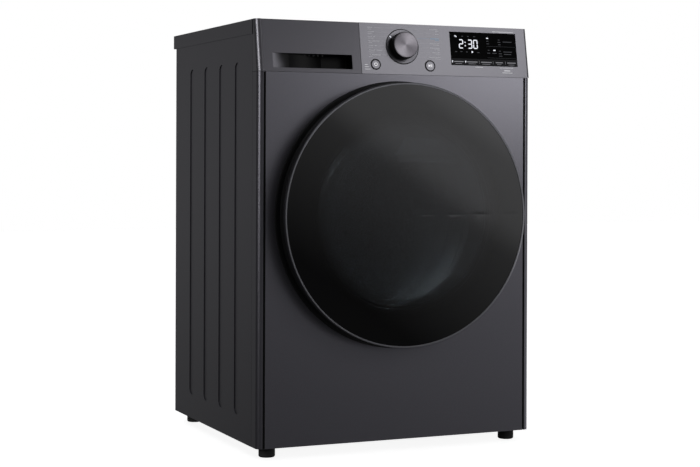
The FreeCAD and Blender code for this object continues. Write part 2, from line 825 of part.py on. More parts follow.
def make_door_window():
    """The clear bowl that reaches into the loading opening."""
    body = new_body("bowl")
    front = "-frame_step - door_wall"
    outline = [
        ("0", "bowl_reach - bowl_sheet"),
        (POLE, "bowl_reach - bowl_sheet"),
        ("bowl_radius - 30", "bowl_reach - bowl_sheet - 5", "12*bowl_radius", 1),
        ("bowl_radius - 12", "bowl_reach - 22", "30", 1),
        ("bowl_radius - bowl_sheet", f"{front} - bowl_sheet"),
        ("bowl_radius + 13", f"{front} - bowl_sheet"),
        ("bowl_radius + 13", front),
        ("bowl_radius", front),
        ("bowl_radius - 8", "bowl_reach - 20"),
        ("bowl_radius - 28", "bowl_reach - 5", "34", -1),
        (POLE, "bowl_reach", "12*bowl_radius", -1),
        ("0", "bowl_reach"),
    ]
    revolve(body, "xy", outline)
    piece("door_window", on_door(body))


def make_door_hinge():
    """A steel plate on the door with two knuckles, and the cabinet's bracket with one between them."""
    front = "-frame_step - door_wall"
    door_side = new_body("hinge_leaf")
    pad(door_side, "xz", [rectangle("glass_radius - 52", "hinge_x - 9", "-hinge_half", "hinge_half")],
        f"{front} - 3", front)
    for sign in (-1, 1):
        low, high = ("-hinge_half + 2", "-32") if sign < 0 else ("32", "hinge_half - 2")
        arm = rectangle("hinge_x - 13", "hinge_x", "-hinge_ahead - 3.5", front)
        pad(door_side, "xy", [arm], low, high)
        pad(door_side, "xy", [circle("hinge_x", "-hinge_ahead", "knuckle_radius")], low, high)
    bore = circle("hinge_x", "-hinge_ahead", "pin_radius + run_gap")
    pocket(door_side, "xy", [bore], "-hinge_half", "hinge_half")
    piece("door_hinge", on_door(door_side))

    bracket = new_body("hinge_bracket_body")
    plate = rectangle("hinge_x - 13", "side_half - crease_inset - crease_width - 3", "-45", "45")
    pad(bracket, "xz", [plate], "steel_sheet", "steel_sheet + 3")
    arm = rectangle("hinge_x - knuckle_radius", "hinge_x + knuckle_radius", "-hinge_ahead", "steel_sheet + 1")
    pad(bracket, "xy", [arm], "-28", "28")
    pad(bracket, "xy", [circle("hinge_x", "-hinge_ahead", "knuckle_radius")], "-28", "28")
    pocket(bracket, "xy", [circle("hinge_x", "-hinge_ahead", "pin_radius + 0.02")], "-29", "29")
    pin = rod("pin", "z", "pin_radius", "hinge_x", "hinge_y", "door_height - hinge_half", "2*hinge_half")
    piece("hinge_bracket", group("bracket_and_pin", [on_door(bracket), pin]))


def make_door_latch():
    """A steel hook on the door and the catch that it drops into."""
    hook = new_body("hook")
    left, right = "-throat_radius - 40", "-throat_radius - 30"
    pad(hook, "xy", [rectangle(left, right, "-door_back_gap", "12")], "-10", "10")
    pocket(hook, "xy", [rectangle(f"{left} + 4", right, "0", "7")], "-10", "10")
    piece("door_hook", on_door(hook))
    catch = new_body("catch")
    pad(catch, "xy", [rectangle("-throat_radius - 52", "-throat_radius - 18", "0", "28")], "-22", "22")
    pocket(catch, "xy", [rectangle("-throat_radius - 44", "-throat_radius - 26", "0", "20")], "-14", "14")
    piece("door_latch", on_door(catch))


# ----------------------------------------------------------------------------------------------------
# Drum, its supports and its drive
# ----------------------------------------------------------------------------------------------------


def support_plate(body, near, loops):
    """A full-width partition across the cabinet."""
    low, high = "base_rim - door_height", "panel_base - 3 - door_height"
    outline = rectangle("-inner_half + slip", "inner_half - slip", low, high)
    pad(body, "xz", [outline, *loops], near, f"{near} + plate_sheet")


def make_front_bulkhead():
    """The front support with the collar of the loading opening and, under it, the lint filter's chute."""
    body = new_body("front_support")
    support_plate(body, "front_plate", [circle("0", "0", "throat_radius")])
    collar = [circle("0", "0", "throat_radius + collar_wall"), circle("0", "0", "throat_radius")]
    pad(body, "xz", collar, "4", "front_plate + 1")
    on_door(body)
    slot = block(
        "chute_slot",
        ("-housing_half", "housing_half"),
        ("filter_front - filter_wall - slip", "front_face + front_plate"),
        ("filter_low", "door_height - throat_radius/2"),
    )
    chute = block(
        "chute_outside",
        ("-housing_half", "housing_half"),
        ("filter_front - filter_wall - slip", "front_face + front_plate"),
        ("filter_low - filter_wall", "door_height - throat_radius + 22"),
    )
    room = block(
        "chute_inside",
        ("-filter_width/2 - slip", "filter_width/2 + slip"),
        ("filter_front - slip", "filter_back + slip"),
        ("filter_low - slip", "door_height"),
    )
    bore = rod("chute_bore", "y", "throat_radius", "0", "front_face", "door_height", "front_plate + 5")
    opened = cut("front_support_slotted", body, [slot])
    piece("front_bulkhead", fuse("front_support_whole", [opened, cut("chute", chute, [room, bore])]))


def make_filter():
    """The lint filter: a pouch that is open at its top, flush with the loading opening."""
    frame = block(
        "filter_outside",
        ("-filter_width/2", "filter_width/2"),
        ("filter_front", "filter_back"),
        ("filter_low", "filter_low + filter_height + 20"),
    )
    pouch = block(
        "filter_inside",
        ("-filter_width/2 + filter_wall", "filter_width/2 - filter_wall"),
        ("filter_front + filter_wall", "filter_back - filter_wall"),
        ("filter_low + filter_wall", "door_height"),
    )
    flush = rod("filter_bore", "y", "throat_radius + 1", "0", "front_face", "door_height", "front_plate + 5")
    piece("lint_filter", cut("filter", frame, [pouch, flush]))


def make_moisture_sensor():
    """Two metal bars across the front support, just under the loading opening."""
    bars = []
    for index in range(2):
        low = f"door_height - throat_radius - 8 - {index}*14"
        bars.append(
            block(
                f"sensor_bar_{index}",
                ("-housing_half - 50", "-housing_half - 10"),
                ("front_face + front_plate + plate_sheet", "front_face + front_plate + plate_sheet + 3"),
                (low, f"{low} + 7"),
            )
        )
    piece("moisture_sensor", group("sensor_bars", bars))


def make_rear_bulkhead():
    body = new_body("rear_support")
    support_plate(body, "back_plate", [circle("0", "0", "bush_radius + 0.05")])
    boss = [circle("0", "0", "bush_radius + 8"), circle("0", "0", "bush_radius + 0.05")]
    pad(body, "xz", boss, "back_plate - 5", "back_plate + 14")
    port = pocket(body, "xz", [circle("150", "0", "24")], "back_plate", "back_plate + plate_sheet")
    around_y(body, port, "12")
    outlet = circle("motor_x", "motor_height - door_height", "fan_radius - 20")
    pocket(body, "xz", [outlet], "back_plate", "back_plate + plate_sheet")
    piece("rear_bulkhead", on_door(body))

    bush = new_body("bush")
    ring = [circle("0", "0", "bush_radius"), circle("0", "0", "shaft_radius + run_gap")]
    pad(bush, "xz", ring, "back_plate - 5", "back_plate + 14")
    piece("rear_bearing", on_door(bush))


def make_drum():
    shell = new_body("drum_wall")
    start, end = "drum_start - front_face", "drum_end - front_face"
    lip = f"{start} + 11"
    outline = [
        ("drum_radius", start),
        ("drum_radius", end),
        ("drum_inner", end),
        ("drum_inner", f"{lip} + drum_sheet"),
        ("drum_lip_radius", f"{lip} + drum_sheet"),
        ("drum_lip_radius", lip),
        ("drum_inner", lip),
        ("drum_inner", start),
    ]
    revolve(shell, "xy", outline)
    piece("drum_shell", on_door(shell))

    back = new_body("drum_end_plate")
    pad(back, "xz", [circle("0", "0", "drum_radius")], end, f"{end} + drum_sheet")
    for radius, count in (("100", "20"), ("150", "30"), ("200", "40")):
        hole = pocket(back, "xz", [circle(radius, "0", "5")], end, f"{end} + drum_sheet")
        around_y(back, hole, count)
    piece("drum_back", on_door(back))

    shaft = new_body("drum_axle")
    face = f"{end} + drum_sheet"
    outline = [
        ("0", face),
        ("40", face),
        ("40", f"{face} + 3"),
        ("shaft_radius + 6", f"{face} + 6"),
        ("shaft_radius + 6", f"{face} + 8"),
        ("shaft_radius", f"{face} + 8"),
        ("shaft_radius", "back_plate + 20"),
        ("0", "back_plate + 20"),
    ]
    revolve(shaft, "xy", outline)
    piece("drum_shaft", on_door(shaft))

    lifters = []
    seat = "drum_inner - soft_gap"
    drop = f"sqrt(({seat})*({seat}) - lifter_base*lifter_base/4)"
    for index in range(round(number("lifter_count"))):
        lifter = new_body(f"lifter_{index}")
        outline = [
            ("-lifter_base/2", f"-{drop}"),
            ("lifter_base/2", f"-{drop}", seat, -1),
            ("9", f"lifter_height - {drop}"),
            ("-9", f"lifter_height - {drop}", "11", 1),
        ]
        middle = f"({start} + {end})/2"
        pad(lifter, "xz", [outline], f"{middle} - lifter_length/2", f"{middle} + lifter_length/2")
        turn = FreeCAD.Rotation(Vector(0, 1, 0), index * 360 / number("lifter_count"))
        lifter.Placement = FreeCAD.Placement(Vector(), turn)
        lifters.append(on_door(lifter))
    piece("drum_lifters", group("lifters", lifters))


def make_drum_seals():
    """Felt rings on the two supports, one inside the drum's front edge and one behind its back."""
    front = new_body("front_felt")
    outline = [
        ("drum_inner - soft_gap - 11", "front_plate + plate_sheet"),
        ("drum_inner - soft_gap", "front_plate + plate_sheet"),
        ("drum_inner - soft_gap", "front_plate + plate_sheet + 10"),
        ("drum_inner - soft_gap - 11", "front_plate + plate_sheet + 10"),
    ]
    revolve(front, "xy", outline)
    rear = new_body("rear_felt")
    near = "drum_end - front_face + drum_sheet + soft_gap"
    outline = [
        ("drum_radius - 25", near),
        ("drum_radius - 3", near),
        ("drum_radius - 3", "back_plate"),
        ("drum_radius - 25", "back_plate"),
    ]
    revolve(rear, "xy", outline)
    piece("drum_seals", group("felts", [on_door(front), on_door(rear)]))


def make_rollers():
    """Two plain wheels under the drum's front end, on axles that stand out of the front support."""
    face = "front_face + front_plate + plate_sheet"
    axles = []
    for side, sign in SIDES:
        axles.append(rod("axle_" + side, "y", "axle_radius", f"{sign}*roller_x", face, "roller_z", "46"))
        wheel = new_body("wheel_" + side)
        outline = [
            ("axle_radius + run_gap", "0"),
            ("12", "0"),
            ("12", "3"),
            ("roller_radius - 7", "3"),
            ("roller_radius - 7", "0"),
            ("roller_radius - 1", "0"),
            ("roller_radius", "1"),
            ("roller_radius", "roller_width - 1"),
            ("roller_radius - 1", "roller_width"),
            ("roller_radius - 7", "roller_width"),
            ("roller_radius - 7", "roller_width - 3"),
            ("12", "roller_width - 3"),
            ("12", "roller_width"),
            ("axle_radius + run_gap", "roller_width"),
        ]
        revolve(wheel, "xy", outline)
        piece("roller_" + side, stand(wheel, f"{sign}*roller_x", f"{face} + 22", "roller_z"))
    piece("roller_axles", group("axles", axles))


def belt_loop(body, grow):
    """The belt's closed outline round the drum and the pulley, as two arcs and two tangent lines."""
    big, small = f"drum_radius + {grow}", f"pulley_radius + {grow}"
    drum, motor = Vector(0, 0, 0), Vector(number("motor_x"), number("motor_height - door_height"), 0)
    big_now, small_now = number(big), number(small)
    between = motor - drum
    tilt = math.acos((big_now - small_now) / between.Length)
    heading = math.atan2(between.y, between.x)
    z_axis = Vector(0, 0, 1)

    def round_point(centre, radius, angle):
        return centre + Vector(math.cos(angle), math.sin(angle), 0) * radius

    sketch = body.newObject("Sketcher::SketchObject", body.Name + "_sketch")
    sketch.AttachmentSupport = [(next(f for f in body.Origin.OriginFeatures if f.Role == "XZ_Plane"), "")]
    sketch.MapMode = "FlatFace"
    low, high = heading - tilt, heading + tilt
    drum_circle = Part.Circle(drum, z_axis, big_now)
    drum_arc = sketch.addGeometry(Part.ArcOfCircle(drum_circle, high, low + 2 * math.pi))
    motor_arc = sketch.addGeometry(Part.ArcOfCircle(Part.Circle(motor, z_axis, small_now), low, high))
    upper = sketch.addGeometry(
        Part.LineSegment(round_point(motor, small_now, high), round_point(drum, big_now, high))
    )
    lower = sketch.addGeometry(
        Part.LineSegment(round_point(drum, big_now, low), round_point(motor, small_now, low))
    )
    for first, first_end, second, second_end in (
        (motor_arc, 2, upper, 1),
        (upper, 2, drum_arc, 1),
        (drum_arc, 2, lower, 1),
        (lower, 2, motor_arc, 1),
    ):
        sketch.addConstraint(Sketcher.Constraint("Tangent", first, first_end, second, second_end))
    hold(sketch, Sketcher.Constraint("Radius", drum_arc, big_now), big)
    hold(sketch, Sketcher.Constraint("Radius", motor_arc, small_now), small)
    hold_point(sketch, drum_arc, 3, "0", "0")
    hold_point(sketch, motor_arc, 3, "motor_x", "motor_height - door_height")
    return sketch


def make_belt():
    body = new_body("belt")
    near, far = "belt_place - belt_width/2", "belt_place + belt_width/2"
    band = body.newObject("PartDesign::Pad", "belt_pad")
    band.Profile = belt_loop(body, "soft_gap + belt_thick")
    bind(band.Profile[0], "AttachmentOffset.Base.z", f"-({far})")
    bind(band, "Length", "belt_width")
    hollow = body.newObject("PartDesign::Pocket", "belt_hollow")
    hollow.Profile = belt_loop(body, "soft_gap")
    bind(hollow.Profile[0], "AttachmentOffset.Base.z", f"-({near})")
    bind(hollow, "Length", "belt_width")
    piece("drive_belt", on_door(body))


def on_motor(body):
    return stand(body, "motor_x", "front_face", "motor_height")


def make_motor():
    body = new_body("motor")
    bore = "rotor_radius + run_gap"
    end = "motor_start + motor_length"
    outline = [
        (bore, "motor_start - 8"),
        ("18", "motor_start - 8"),
        ("18", "motor_start"),
        ("motor_radius - 4", "motor_start"),
        ("motor_radius", "motor_start + 4"),
        ("motor_radius", f"{end} - 4"),
        ("motor_radius - 4", end),
        (bore, end),
    ]
    revolve(body, "xy", outline)
    on_motor(body)
    saddle = block(
        "motor_saddle",
        ("motor_x - 42", "motor_x + 42"),
        ("front_face + motor_start + 12", "front_face + motor_start + motor_length - 12"),
        ("base_top", "motor_height - motor_radius + 14"),
    )
    room = rod("motor_room", "y", "motor_radius - 1", "motor_x", "front_face + motor_start", "motor_height",
               "motor_length")
    piece("motor_housing", fuse("motor_whole", [body, cut("saddle_cut", saddle, [room])]))

    rotor = new_body("rotor")
    near, far = "belt_place - belt_width/2", "belt_place + belt_width/2"
    outline = [
        ("0", "motor_start - 14"),
        ("rotor_radius", "motor_start - 14"),
        ("rotor_radius", f"{near} - 4"),
        ("pulley_radius + 4", f"{near} - 4"),
        ("pulley_radius + 4", f"{near} - 1"),
        ("pulley_radius", f"{near} - 1"),
        ("pulley_radius", f"{far} + 1"),
        ("pulley_radius + 4", f"{far} + 1"),
        ("pulley_radius + 4", f"{far} + 4"),
        ("rotor_radius", f"{far} + 4"),
        ("rotor_radius", "fan_start - front_face + fan_width"),
        ("0", "fan_start - front_face + fan_width"),
    ]
    revolve(rotor, "xy", outline)
    piece("motor_rotor", on_motor(rotor))


def make_fan():
    start = "fan_start - front_face"
    wheel = new_body("fan")
    plate = [circle("0", "0", "fan_radius"), circle("0", "0", "rotor_radius + 0.02")]
    pad(wheel, "xz", plate, f"{start} + fan_width - 2", f"{start} + fan_width")
    hub = [circle("0", "0", "rotor_radius + 8"), circle("0", "0", "rotor_radius + 0.02")]
    pad(wheel, "xz", hub, start, f"{start} + fan_width - 1")
    blade = pad(wheel, "xz", [rectangle("fan_radius - 24", "fan_radius - 1", "-1", "1")], start,
                f"{start} + fan_width - 1")
    around_y(wheel, blade, "fan_blades")
    piece("fan_wheel", on_motor(wheel))

    casing = new_body("casing")
    near, far = f"{start} - 7", "back_plate"
    half = "fan_radius + 12"
    low = "base_top - motor_height"
    pad(casing, "xz", [rectangle(f"-({half})", half, low, half)], near, far)
    pocket(casing, "xz", [circle("0", "0", "fan_radius + 6")], f"{near} + 4", far)
    pocket(casing, "xz", [circle("0", "0", "fan_radius - 26")], near, far)
    piece("fan_housing", on_motor(casing))


# ----------------------------------------------------------------------------------------------------
# Heat pump and pump
# ----------------------------------------------------------------------------------------------------

COILS = (("evaporator", 100, 90), ("condenser", 205, 150))
COIL_LEFT = "-inner_half + 30"
COMPRESSOR_Y = "front_face + front_plate + plate_sheet + compressor_radius + 6"


def make_heat_pump():
    body = new_body("compressor_can")
    foot = "compressor_radius + 6"
    outline = [
        ("0", "0"),
        (foot, "0"),
        (foot, "4"),
        ("compressor_radius", "4"),
        ("compressor_radius", "compressor_height - 26"),
        ("compressor_radius - 24", "compressor_height", "28", -1),
        ("0", "compressor_height"),
    ]
    revolve(body, "xz", outline)
    piece("compressor", stand(body, "motor_x", COMPRESSOR_Y, "base_top"))

    coils = [
        block(
            name,
            (COIL_LEFT, f"{COIL_LEFT} + coil_width"),
            (f"front_face + {start}", f"front_face + {start + depth}"),
            ("base_top", "base_top + coil_height"),
        )
        for name, start, depth in COILS
    ]
    piece("heat_exchangers", group("coils", coils))
    cover = block(
        "coil_cover_outside",
        (f"{COIL_LEFT} - 5", f"{COIL_LEFT} + coil_width + 5"),
        ("front_face + front_plate + plate_sheet + 10", "front_face + 380"),
        ("base_top", "base_top + coil_height + 4"),
    )
    room = block(
        "coil_cover_inside",
        (f"{COIL_LEFT} - 2", f"{COIL_LEFT} + coil_width + 2"),
        ("front_face + front_plate", "front_face + 377"),
        ("base_top - 1", "base_top + coil_height + 1"),
    )
    piece("heat_exchanger_cover", cut("coil_cover", cover, [room]))

    top = "base_top + compressor_height"
    right = f"{COIL_LEFT} + coil_width + 5"
    pipes = []
    for index in range(2):
        y = f"{COMPRESSOR_Y} - 10 + {index}*20"
        pipes.append(
            bent_tube(
                f"pipe_{index}",
                "4",
                "18",
                [
                    (f"motor_x - {index}*22", y, top),
                    (f"motor_x - {index}*22", y, f"{top} + 25 - {index}*9"),
                    (f"{right} + 20 + {index}*24", y, f"{top} + 25 - {index}*9"),
                    (f"{right} + 20 + {index}*24", y, "base_top + 60"),
                    (right, y, "base_top + 60"),
                ],
            )
        )
    piece("refrigerant_pipes", group("pipes", pipes))


def make_drain():
    """The pump that lifts the water from the base to the tank, and its hose."""
    x, y = "-inner_half + 72", "front_face + 430"
    across, along = (f"{x} - 33", f"{x} + 33"), (f"{y} - 24", f"{y} + 24")
    body = block("pump_body", across, along, ("base_top", "base_top + 40"))
    motor = rod("pump_motor", "z", "19", x, y, "base_top + 39", "26")
    spout = rod("pump_spout", "z", "6.5", f"{x} - 26", y, "base_top + 39", "9")
    piece("drain_pump", fuse("pump", [body, motor, spout]))
    start = f"{x} - 26"
    wall = "-inner_half + 10"
    hose = bent_tube(
        "hose",
        "4.5",
        "30",
        [
            (start, y, "base_top + 48"),
            (start, y, "base_top + 120"),
            (wall, y, "base_top + 190"),
            (wall, y, "door_height + 110"),
            ("tank_left + 12", y, "panel_base - 90"),
            ("tank_left + 12", y, "tank_low - soft_gap - sleeve_wall"),
        ],
    )
    piece("pump_hose", hose)


# ----------------------------------------------------------------------------------------------------
# Control panel and tank drawer
# ----------------------------------------------------------------------------------------------------

FASCIA_LEFT = "drawer_right + 1"


def end_cap(name, low, high, sign):
    """The end of the control panel, which wraps round to the side and has a rounded corner."""
    body = new_body(name)
    outline = [
        ("front_face + panel_seam/2*lean_sin/lean_cos", "panel_base + panel_seam/2"),
        ("wrap_end", "panel_base + panel_seam/2"),
        ("wrap_end", "cab_height"),
        ("front_face + lean_back", "cab_height"),
    ]
    pad(body, "yz", [outline], low, high)
    side = number("side_half")
    radius = "crease_inset - 1" if sign < 0 else "crease_inset/2"
    round_edges(
        body,
        radius,
        lambda edge, middle: upright(edge)
        and abs(abs(middle.x) - side) < 0.01
        and middle.y < number("wrap_end") - 1,
    )
    return body


def plane_at(inwards, height):
    """Y of the plane that lies inside the leaning face, at a height."""
    return f"front_face + ({inwards})/lean_cos + ({height} - panel_base)*lean_sin/lean_cos"


def make_fascia():
    slab = new_body("fascia_slab")
    low, high = "panel_seam/2/lean_cos", "slope"
    pad(slab, "xz", [rectangle(FASCIA_LEFT, "side_half - 11", low, high)], "0", "fascia_sheet")
    holes = [
        circle("knob_x", "knob_rise", "6"),
        circle("power_x", "button_rise", "power_radius + button_gap"),
        circle("start_x", "button_rise", "start_radius + button_gap"),
    ]
    pocket(slab, "xz", holes, "0", "fascia_sheet")
    pocket(slab, "xz", [circle("knob_x", "knob_rise", "ring_radius + slip")], "0", "1")
    window = rectangle(
        "display_left - slip", "display_right + slip", "display_low - slip", "display_high + slip"
    )
    pocket(slab, "xz", [window], "0", "display_sheet")
    lean(slab)
    cap = end_cap("fascia_cap", "side_half - crease_inset", "side_half", 1)
    piece("control_fascia", fuse("fascia", [slab, cap]))

    pane = new_body("pane")
    face = rectangle("display_left", "display_right", "display_low", "display_high")
    pad(pane, "xz", [face], "-0.3", "display_sheet")
    piece("display_window", lean(pane))


def make_control_frame():
    """The carrier behind the fascia: openings for the drawer and the stems, a top flange and the left end."""
    slab = new_body("frame_slab")
    near, far = "fascia_sheet + 1", "fascia_sheet + 4"
    outline = rectangle("drawer_left + 1", "side_half - 14", "3", "slope - 0.4")
    opening = rectangle("tank_left - sleeve_wall", "tank_right + 3", "5", "slope - 9")
    holes = [
        circle("knob_x", "knob_rise", "3 + run_gap"),
        circle("power_x", "button_rise", "3.4"),
        circle("start_x", "button_rise", "3.4"),
    ]
    pad(slab, "xz", [outline, opening, *holes], near, far)
    lean(slab)
    flange = block(
        "frame_flange",
        ("drawer_left - 1", "side_half - crease_inset - slip"),
        ("front_face + lean_back + 4.2", "wrap_end"),
        ("cab_height - 2", "cab_height"),
    )
    cap = end_cap("frame_cap", "-side_half", "drawer_left - 0.5", -1)
    link = new_body("frame_link")
    pad(link, "xz", [rectangle("drawer_left - 4", "drawer_left + 3", "3", "slope - 6")], near, far)
    lean(link)
    piece("control_frame", fuse("frame", [slab, flange, cap, link]))


def make_knob():
    body = new_body("knob_turned")
    outline = [
        ("0", "-knob_proud"),
        ("knob_radius - 1.5", "-knob_proud"),
        ("knob_radius - 0.5", "1.2 - knob_proud"),
        ("knob_radius", "-1.5"),
        ("knob_radius - 3", "-1.5"),
        ("knob_radius - 3", "3 - knob_proud"),
        ("6", "3 - knob_proud"),
        ("6", "-2"),
        ("3", "-2"),
        ("3", "fascia_sheet + 6"),
        ("0", "fascia_sheet + 6"),
    ]
    revolve(body, "xy", outline)
    piece("knob", lean(body, "knob_x", "knob_rise"))

    ring = new_body("bezel")
    outline = [
        ("knob_radius + 1.2", "1"),
        ("knob_radius + 1.2", "-0.6"),
        ("ring_radius - 1", "-1.2"),
        ("ring_radius", "-0.4"),
        ("ring_radius", "1"),
    ]
    revolve(ring, "xy", outline)
    piece("knob_ring", lean(ring, "knob_x", "knob_rise"))


def make_button(name, x, radius):
    """A cap with a stem; its skirt rides in the fascia's hole."""
    body = new_body(name + "_turned")
    outline = [
        ("0", "-0.8"),
        (f"{radius} - 1.2", "-1"),
        (radius, "0"),
        (radius, "fascia_sheet - 0.8"),
        ("3", "fascia_sheet - 0.8"),
        ("3", "fascia_sheet + 6"),
        ("0", "fascia_sheet + 6"),
    ]
    revolve(body, "xy", outline)
    piece(name, lean(body, x, "button_rise"))


def make_electronics():
    """The board that carries the display and the switches, in its open-fronted tray."""
    tray = new_body("tray")
    left, right = f"{FASCIA_LEFT} + 6", "side_half - 18"
    near, far = "fascia_sheet + 4", "fascia_sheet + 26"
    pad(tray, "xz", [rectangle(left, right, "8", "slope - 8")], near, far)
    pocket(tray, "xz", [rectangle(f"{left} + 2", f"{right} - 2", "10", "slope - 10")], near, f"{far} - 2")
    bosses = [
        circle(x, z, "4")
        for x in (f"{left} + 12", "100", f"{right} - 12")
        for z in ("18", "slope - 18")
    ]
    pad(tray, "xz", bosses, "fascia_sheet + 11.6", f"{far} - 1")
    piece("control_box", lean(tray))
    board = new_body("board")
    pad(board, "xz", [rectangle(f"{left} + 4", f"{right} - 4", "12", "slope - 12")],
        "fascia_sheet + 10", "fascia_sheet + 11.6")
    piece("display_board", lean(board))


def make_drawer():
    """The drawer's front with a finger scoop that deepens to the right, and the water tank behind it."""
    front = new_body("drawer_panel")
    low, high = "panel_seam/2/lean_cos", "slope - 0.3"
    pad(front, "xz", [rectangle("drawer_left", "drawer_right", low, high)], "0", "fascia_sheet")
    pocket_back = rectangle("tank_left + 4", "tank_right - 2", "6", "42")
    pad(front, "xz", [pocket_back], "fascia_sheet - 1", "drawer_grip")
    scoop = [
        ("drawer_left + 19", "-1"),
        ("drawer_left + 19", "0.3"),
        ("drawer_left + 54", "5"),
        ("drawer_left + 130", "drawer_grip - 4", "140", -1),
        ("drawer_right - 22", "drawer_grip - 3"),
        ("drawer_right - 18.5", "drawer_grip - 7", "4", 1),
        ("drawer_right - 18.5", "-1"),
    ]
    pocket(front, "xy", [scoop], "8", "37")
    piece("drawer_front", lean(front))

    tank = new_body("tank")
    tank_high = "tank_low + tank_height"
    start = "drawer_grip"
    end = "front_face + drawer_grip + tank_length"
    wall = "tank_wall"
    outside = [
        (plane_at(start, "tank_low"), "tank_low"),
        (end, "tank_low"),
        (end, tank_high),
        (plane_at(start, f"({tank_high})"), tank_high),
    ]
    inside_low, inside_high = f"tank_low + {wall}", f"({tank_high} - {wall})"
    inside = [
        (plane_at(f"{start} + {wall}", f"({inside_low})"), inside_low),
        (f"{end} - {wall}", inside_low),
        (f"{end} - {wall}", inside_high),
        (plane_at(f"{start} + {wall}", inside_high), inside_high),
    ]
    pad(tank, "yz", [outside], "tank_left", "tank_right")
    pocket(tank, "yz", [inside], f"tank_left + {wall}", f"tank_right - {wall}")
    mouth = rectangle("tank_left + 50", "tank_right - 50", f"{end} - 180", f"{end} - 60")
    pocket(tank, "xy", [mouth], inside_high, tank_high)
    piece("water_tank", tank)

    sleeve = new_body("sleeve")
    top = f"({tank_high} + soft_gap)"
    seat, clear = "fascia_sheet + 4", "drawer_grip + 1"
    back = f"{end} + 4"
    outside = [
        (plane_at(clear, "(tank_low - soft_gap - sleeve_wall)"), "tank_low - soft_gap - sleeve_wall"),
        (back, "tank_low - soft_gap - sleeve_wall"),
        (back, f"{top} + sleeve_wall"),
        (plane_at(seat, f"({top} + sleeve_wall)"), f"{top} + sleeve_wall"),
        (plane_at(seat, top), top),
        (plane_at(clear, top), top),
    ]
    inside = [
        ("front_face - 5", "tank_low - soft_gap"),
        (f"{back} - sleeve_wall", "tank_low - soft_gap"),
        (f"{back} - sleeve_wall", top),
        ("front_face - 5", top),
    ]
    pad(sleeve, "yz", [outside], "tank_left - soft_gap - sleeve_wall", "tank_right + soft_gap + sleeve_wall")
    pocket(sleeve, "yz", [inside], "tank_left - soft_gap", "tank_right + soft_gap")
    piece("drawer_sleeve", sleeve)


# ----------------------------------------------------------------------------------------------------
# Build, check and write
# ----------------------------------------------------------------------------------------------------

make_base()
make_feet()
make_sides()
make_back_panel()
make_rear_cover()
make_power_inlet()
make_lid()
make_front_panel()
make_surround()
make_gasket()
make_door_glass()
make_door_rim()
make_door_shell()
make_door_inner_frame()
make_door_window()
make_door_hinge()
make_door_latch()
make_front_bulkhead()
make_filter()
make_moisture_sensor()
make_rear_bulkhead()
make_drum()
make_drum_seals()
make_rollers()
make_belt()
make_motor()
make_fan()
make_heat_pump()
make_drain()
make_fascia()
make_control_frame()
make_knob()
make_button("power_button", "power_x", "power_radius")
make_button("start_button", "start_x", "start_radius")
make_electronics()
make_drawer()
doc.recompute()



def stop_on(faults):
    if faults:
        raise SystemExit("\n".join(faults))


stop_on([
    f"{item.Name} of {item.TypeId} is in state {item.State}"
    for item in doc.Objects
    if any(word in state for state in item.State for word in ("Invalid", "Error"))
])
stop_on([
    f"{item.Name} cuts nothing"
    for item in doc.Objects
    if item.TypeId == "PartDesign::Pocket"
    and item.Shape.Volume > item.BaseFeature.Shape.Volume - 1e-3
])
stop_on([
    f"{item.Label} has no valid solid"
    for item in subparts
    if item.Shape.isNull() or not item.Shape.isValid() or not item.Shape.Solids
])

for item in subparts:
    item.Shape.exportStep(f"parts/{item.Label}.step")
print(len(subparts), "sub-parts written")
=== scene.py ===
import json
import math

import bmesh
import bpy
from mathutils import Matrix, Vector

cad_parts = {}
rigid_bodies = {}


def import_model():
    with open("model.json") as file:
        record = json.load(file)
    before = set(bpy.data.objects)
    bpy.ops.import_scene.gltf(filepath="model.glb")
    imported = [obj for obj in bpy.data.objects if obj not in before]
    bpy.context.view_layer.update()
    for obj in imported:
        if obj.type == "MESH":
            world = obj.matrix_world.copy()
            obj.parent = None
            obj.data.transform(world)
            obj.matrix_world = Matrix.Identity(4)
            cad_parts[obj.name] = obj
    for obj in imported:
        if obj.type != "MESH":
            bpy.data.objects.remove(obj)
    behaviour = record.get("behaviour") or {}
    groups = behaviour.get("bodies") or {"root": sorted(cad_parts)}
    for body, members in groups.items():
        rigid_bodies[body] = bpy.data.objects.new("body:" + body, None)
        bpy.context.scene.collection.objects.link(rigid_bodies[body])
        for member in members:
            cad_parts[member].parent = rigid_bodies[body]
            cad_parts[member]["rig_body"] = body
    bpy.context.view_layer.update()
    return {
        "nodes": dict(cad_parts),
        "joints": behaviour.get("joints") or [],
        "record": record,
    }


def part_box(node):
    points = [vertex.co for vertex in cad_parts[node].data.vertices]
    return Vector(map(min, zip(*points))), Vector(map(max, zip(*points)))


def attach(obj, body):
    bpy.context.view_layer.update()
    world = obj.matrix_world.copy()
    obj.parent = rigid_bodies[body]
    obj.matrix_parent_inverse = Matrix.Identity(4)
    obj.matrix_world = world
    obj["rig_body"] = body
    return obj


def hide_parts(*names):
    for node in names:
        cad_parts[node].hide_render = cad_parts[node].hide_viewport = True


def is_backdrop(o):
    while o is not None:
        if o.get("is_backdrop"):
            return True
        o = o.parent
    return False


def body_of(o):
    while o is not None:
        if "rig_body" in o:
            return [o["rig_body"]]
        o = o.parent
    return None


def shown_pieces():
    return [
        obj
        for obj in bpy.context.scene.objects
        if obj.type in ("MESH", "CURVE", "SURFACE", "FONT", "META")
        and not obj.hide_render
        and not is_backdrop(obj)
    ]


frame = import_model()

# A heat pump clothes dryer in dark metallic grey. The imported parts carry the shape; this file gives them
# their finishes and adds the small pieces that a maker prints, moulds or presses on them. Sizes that are
# written with MM, and the outlines of the small pieces, are in mm; the rest is in metres.

MM = 0.001
joints = {joint["name"]: joint for joint in frame["joints"]}

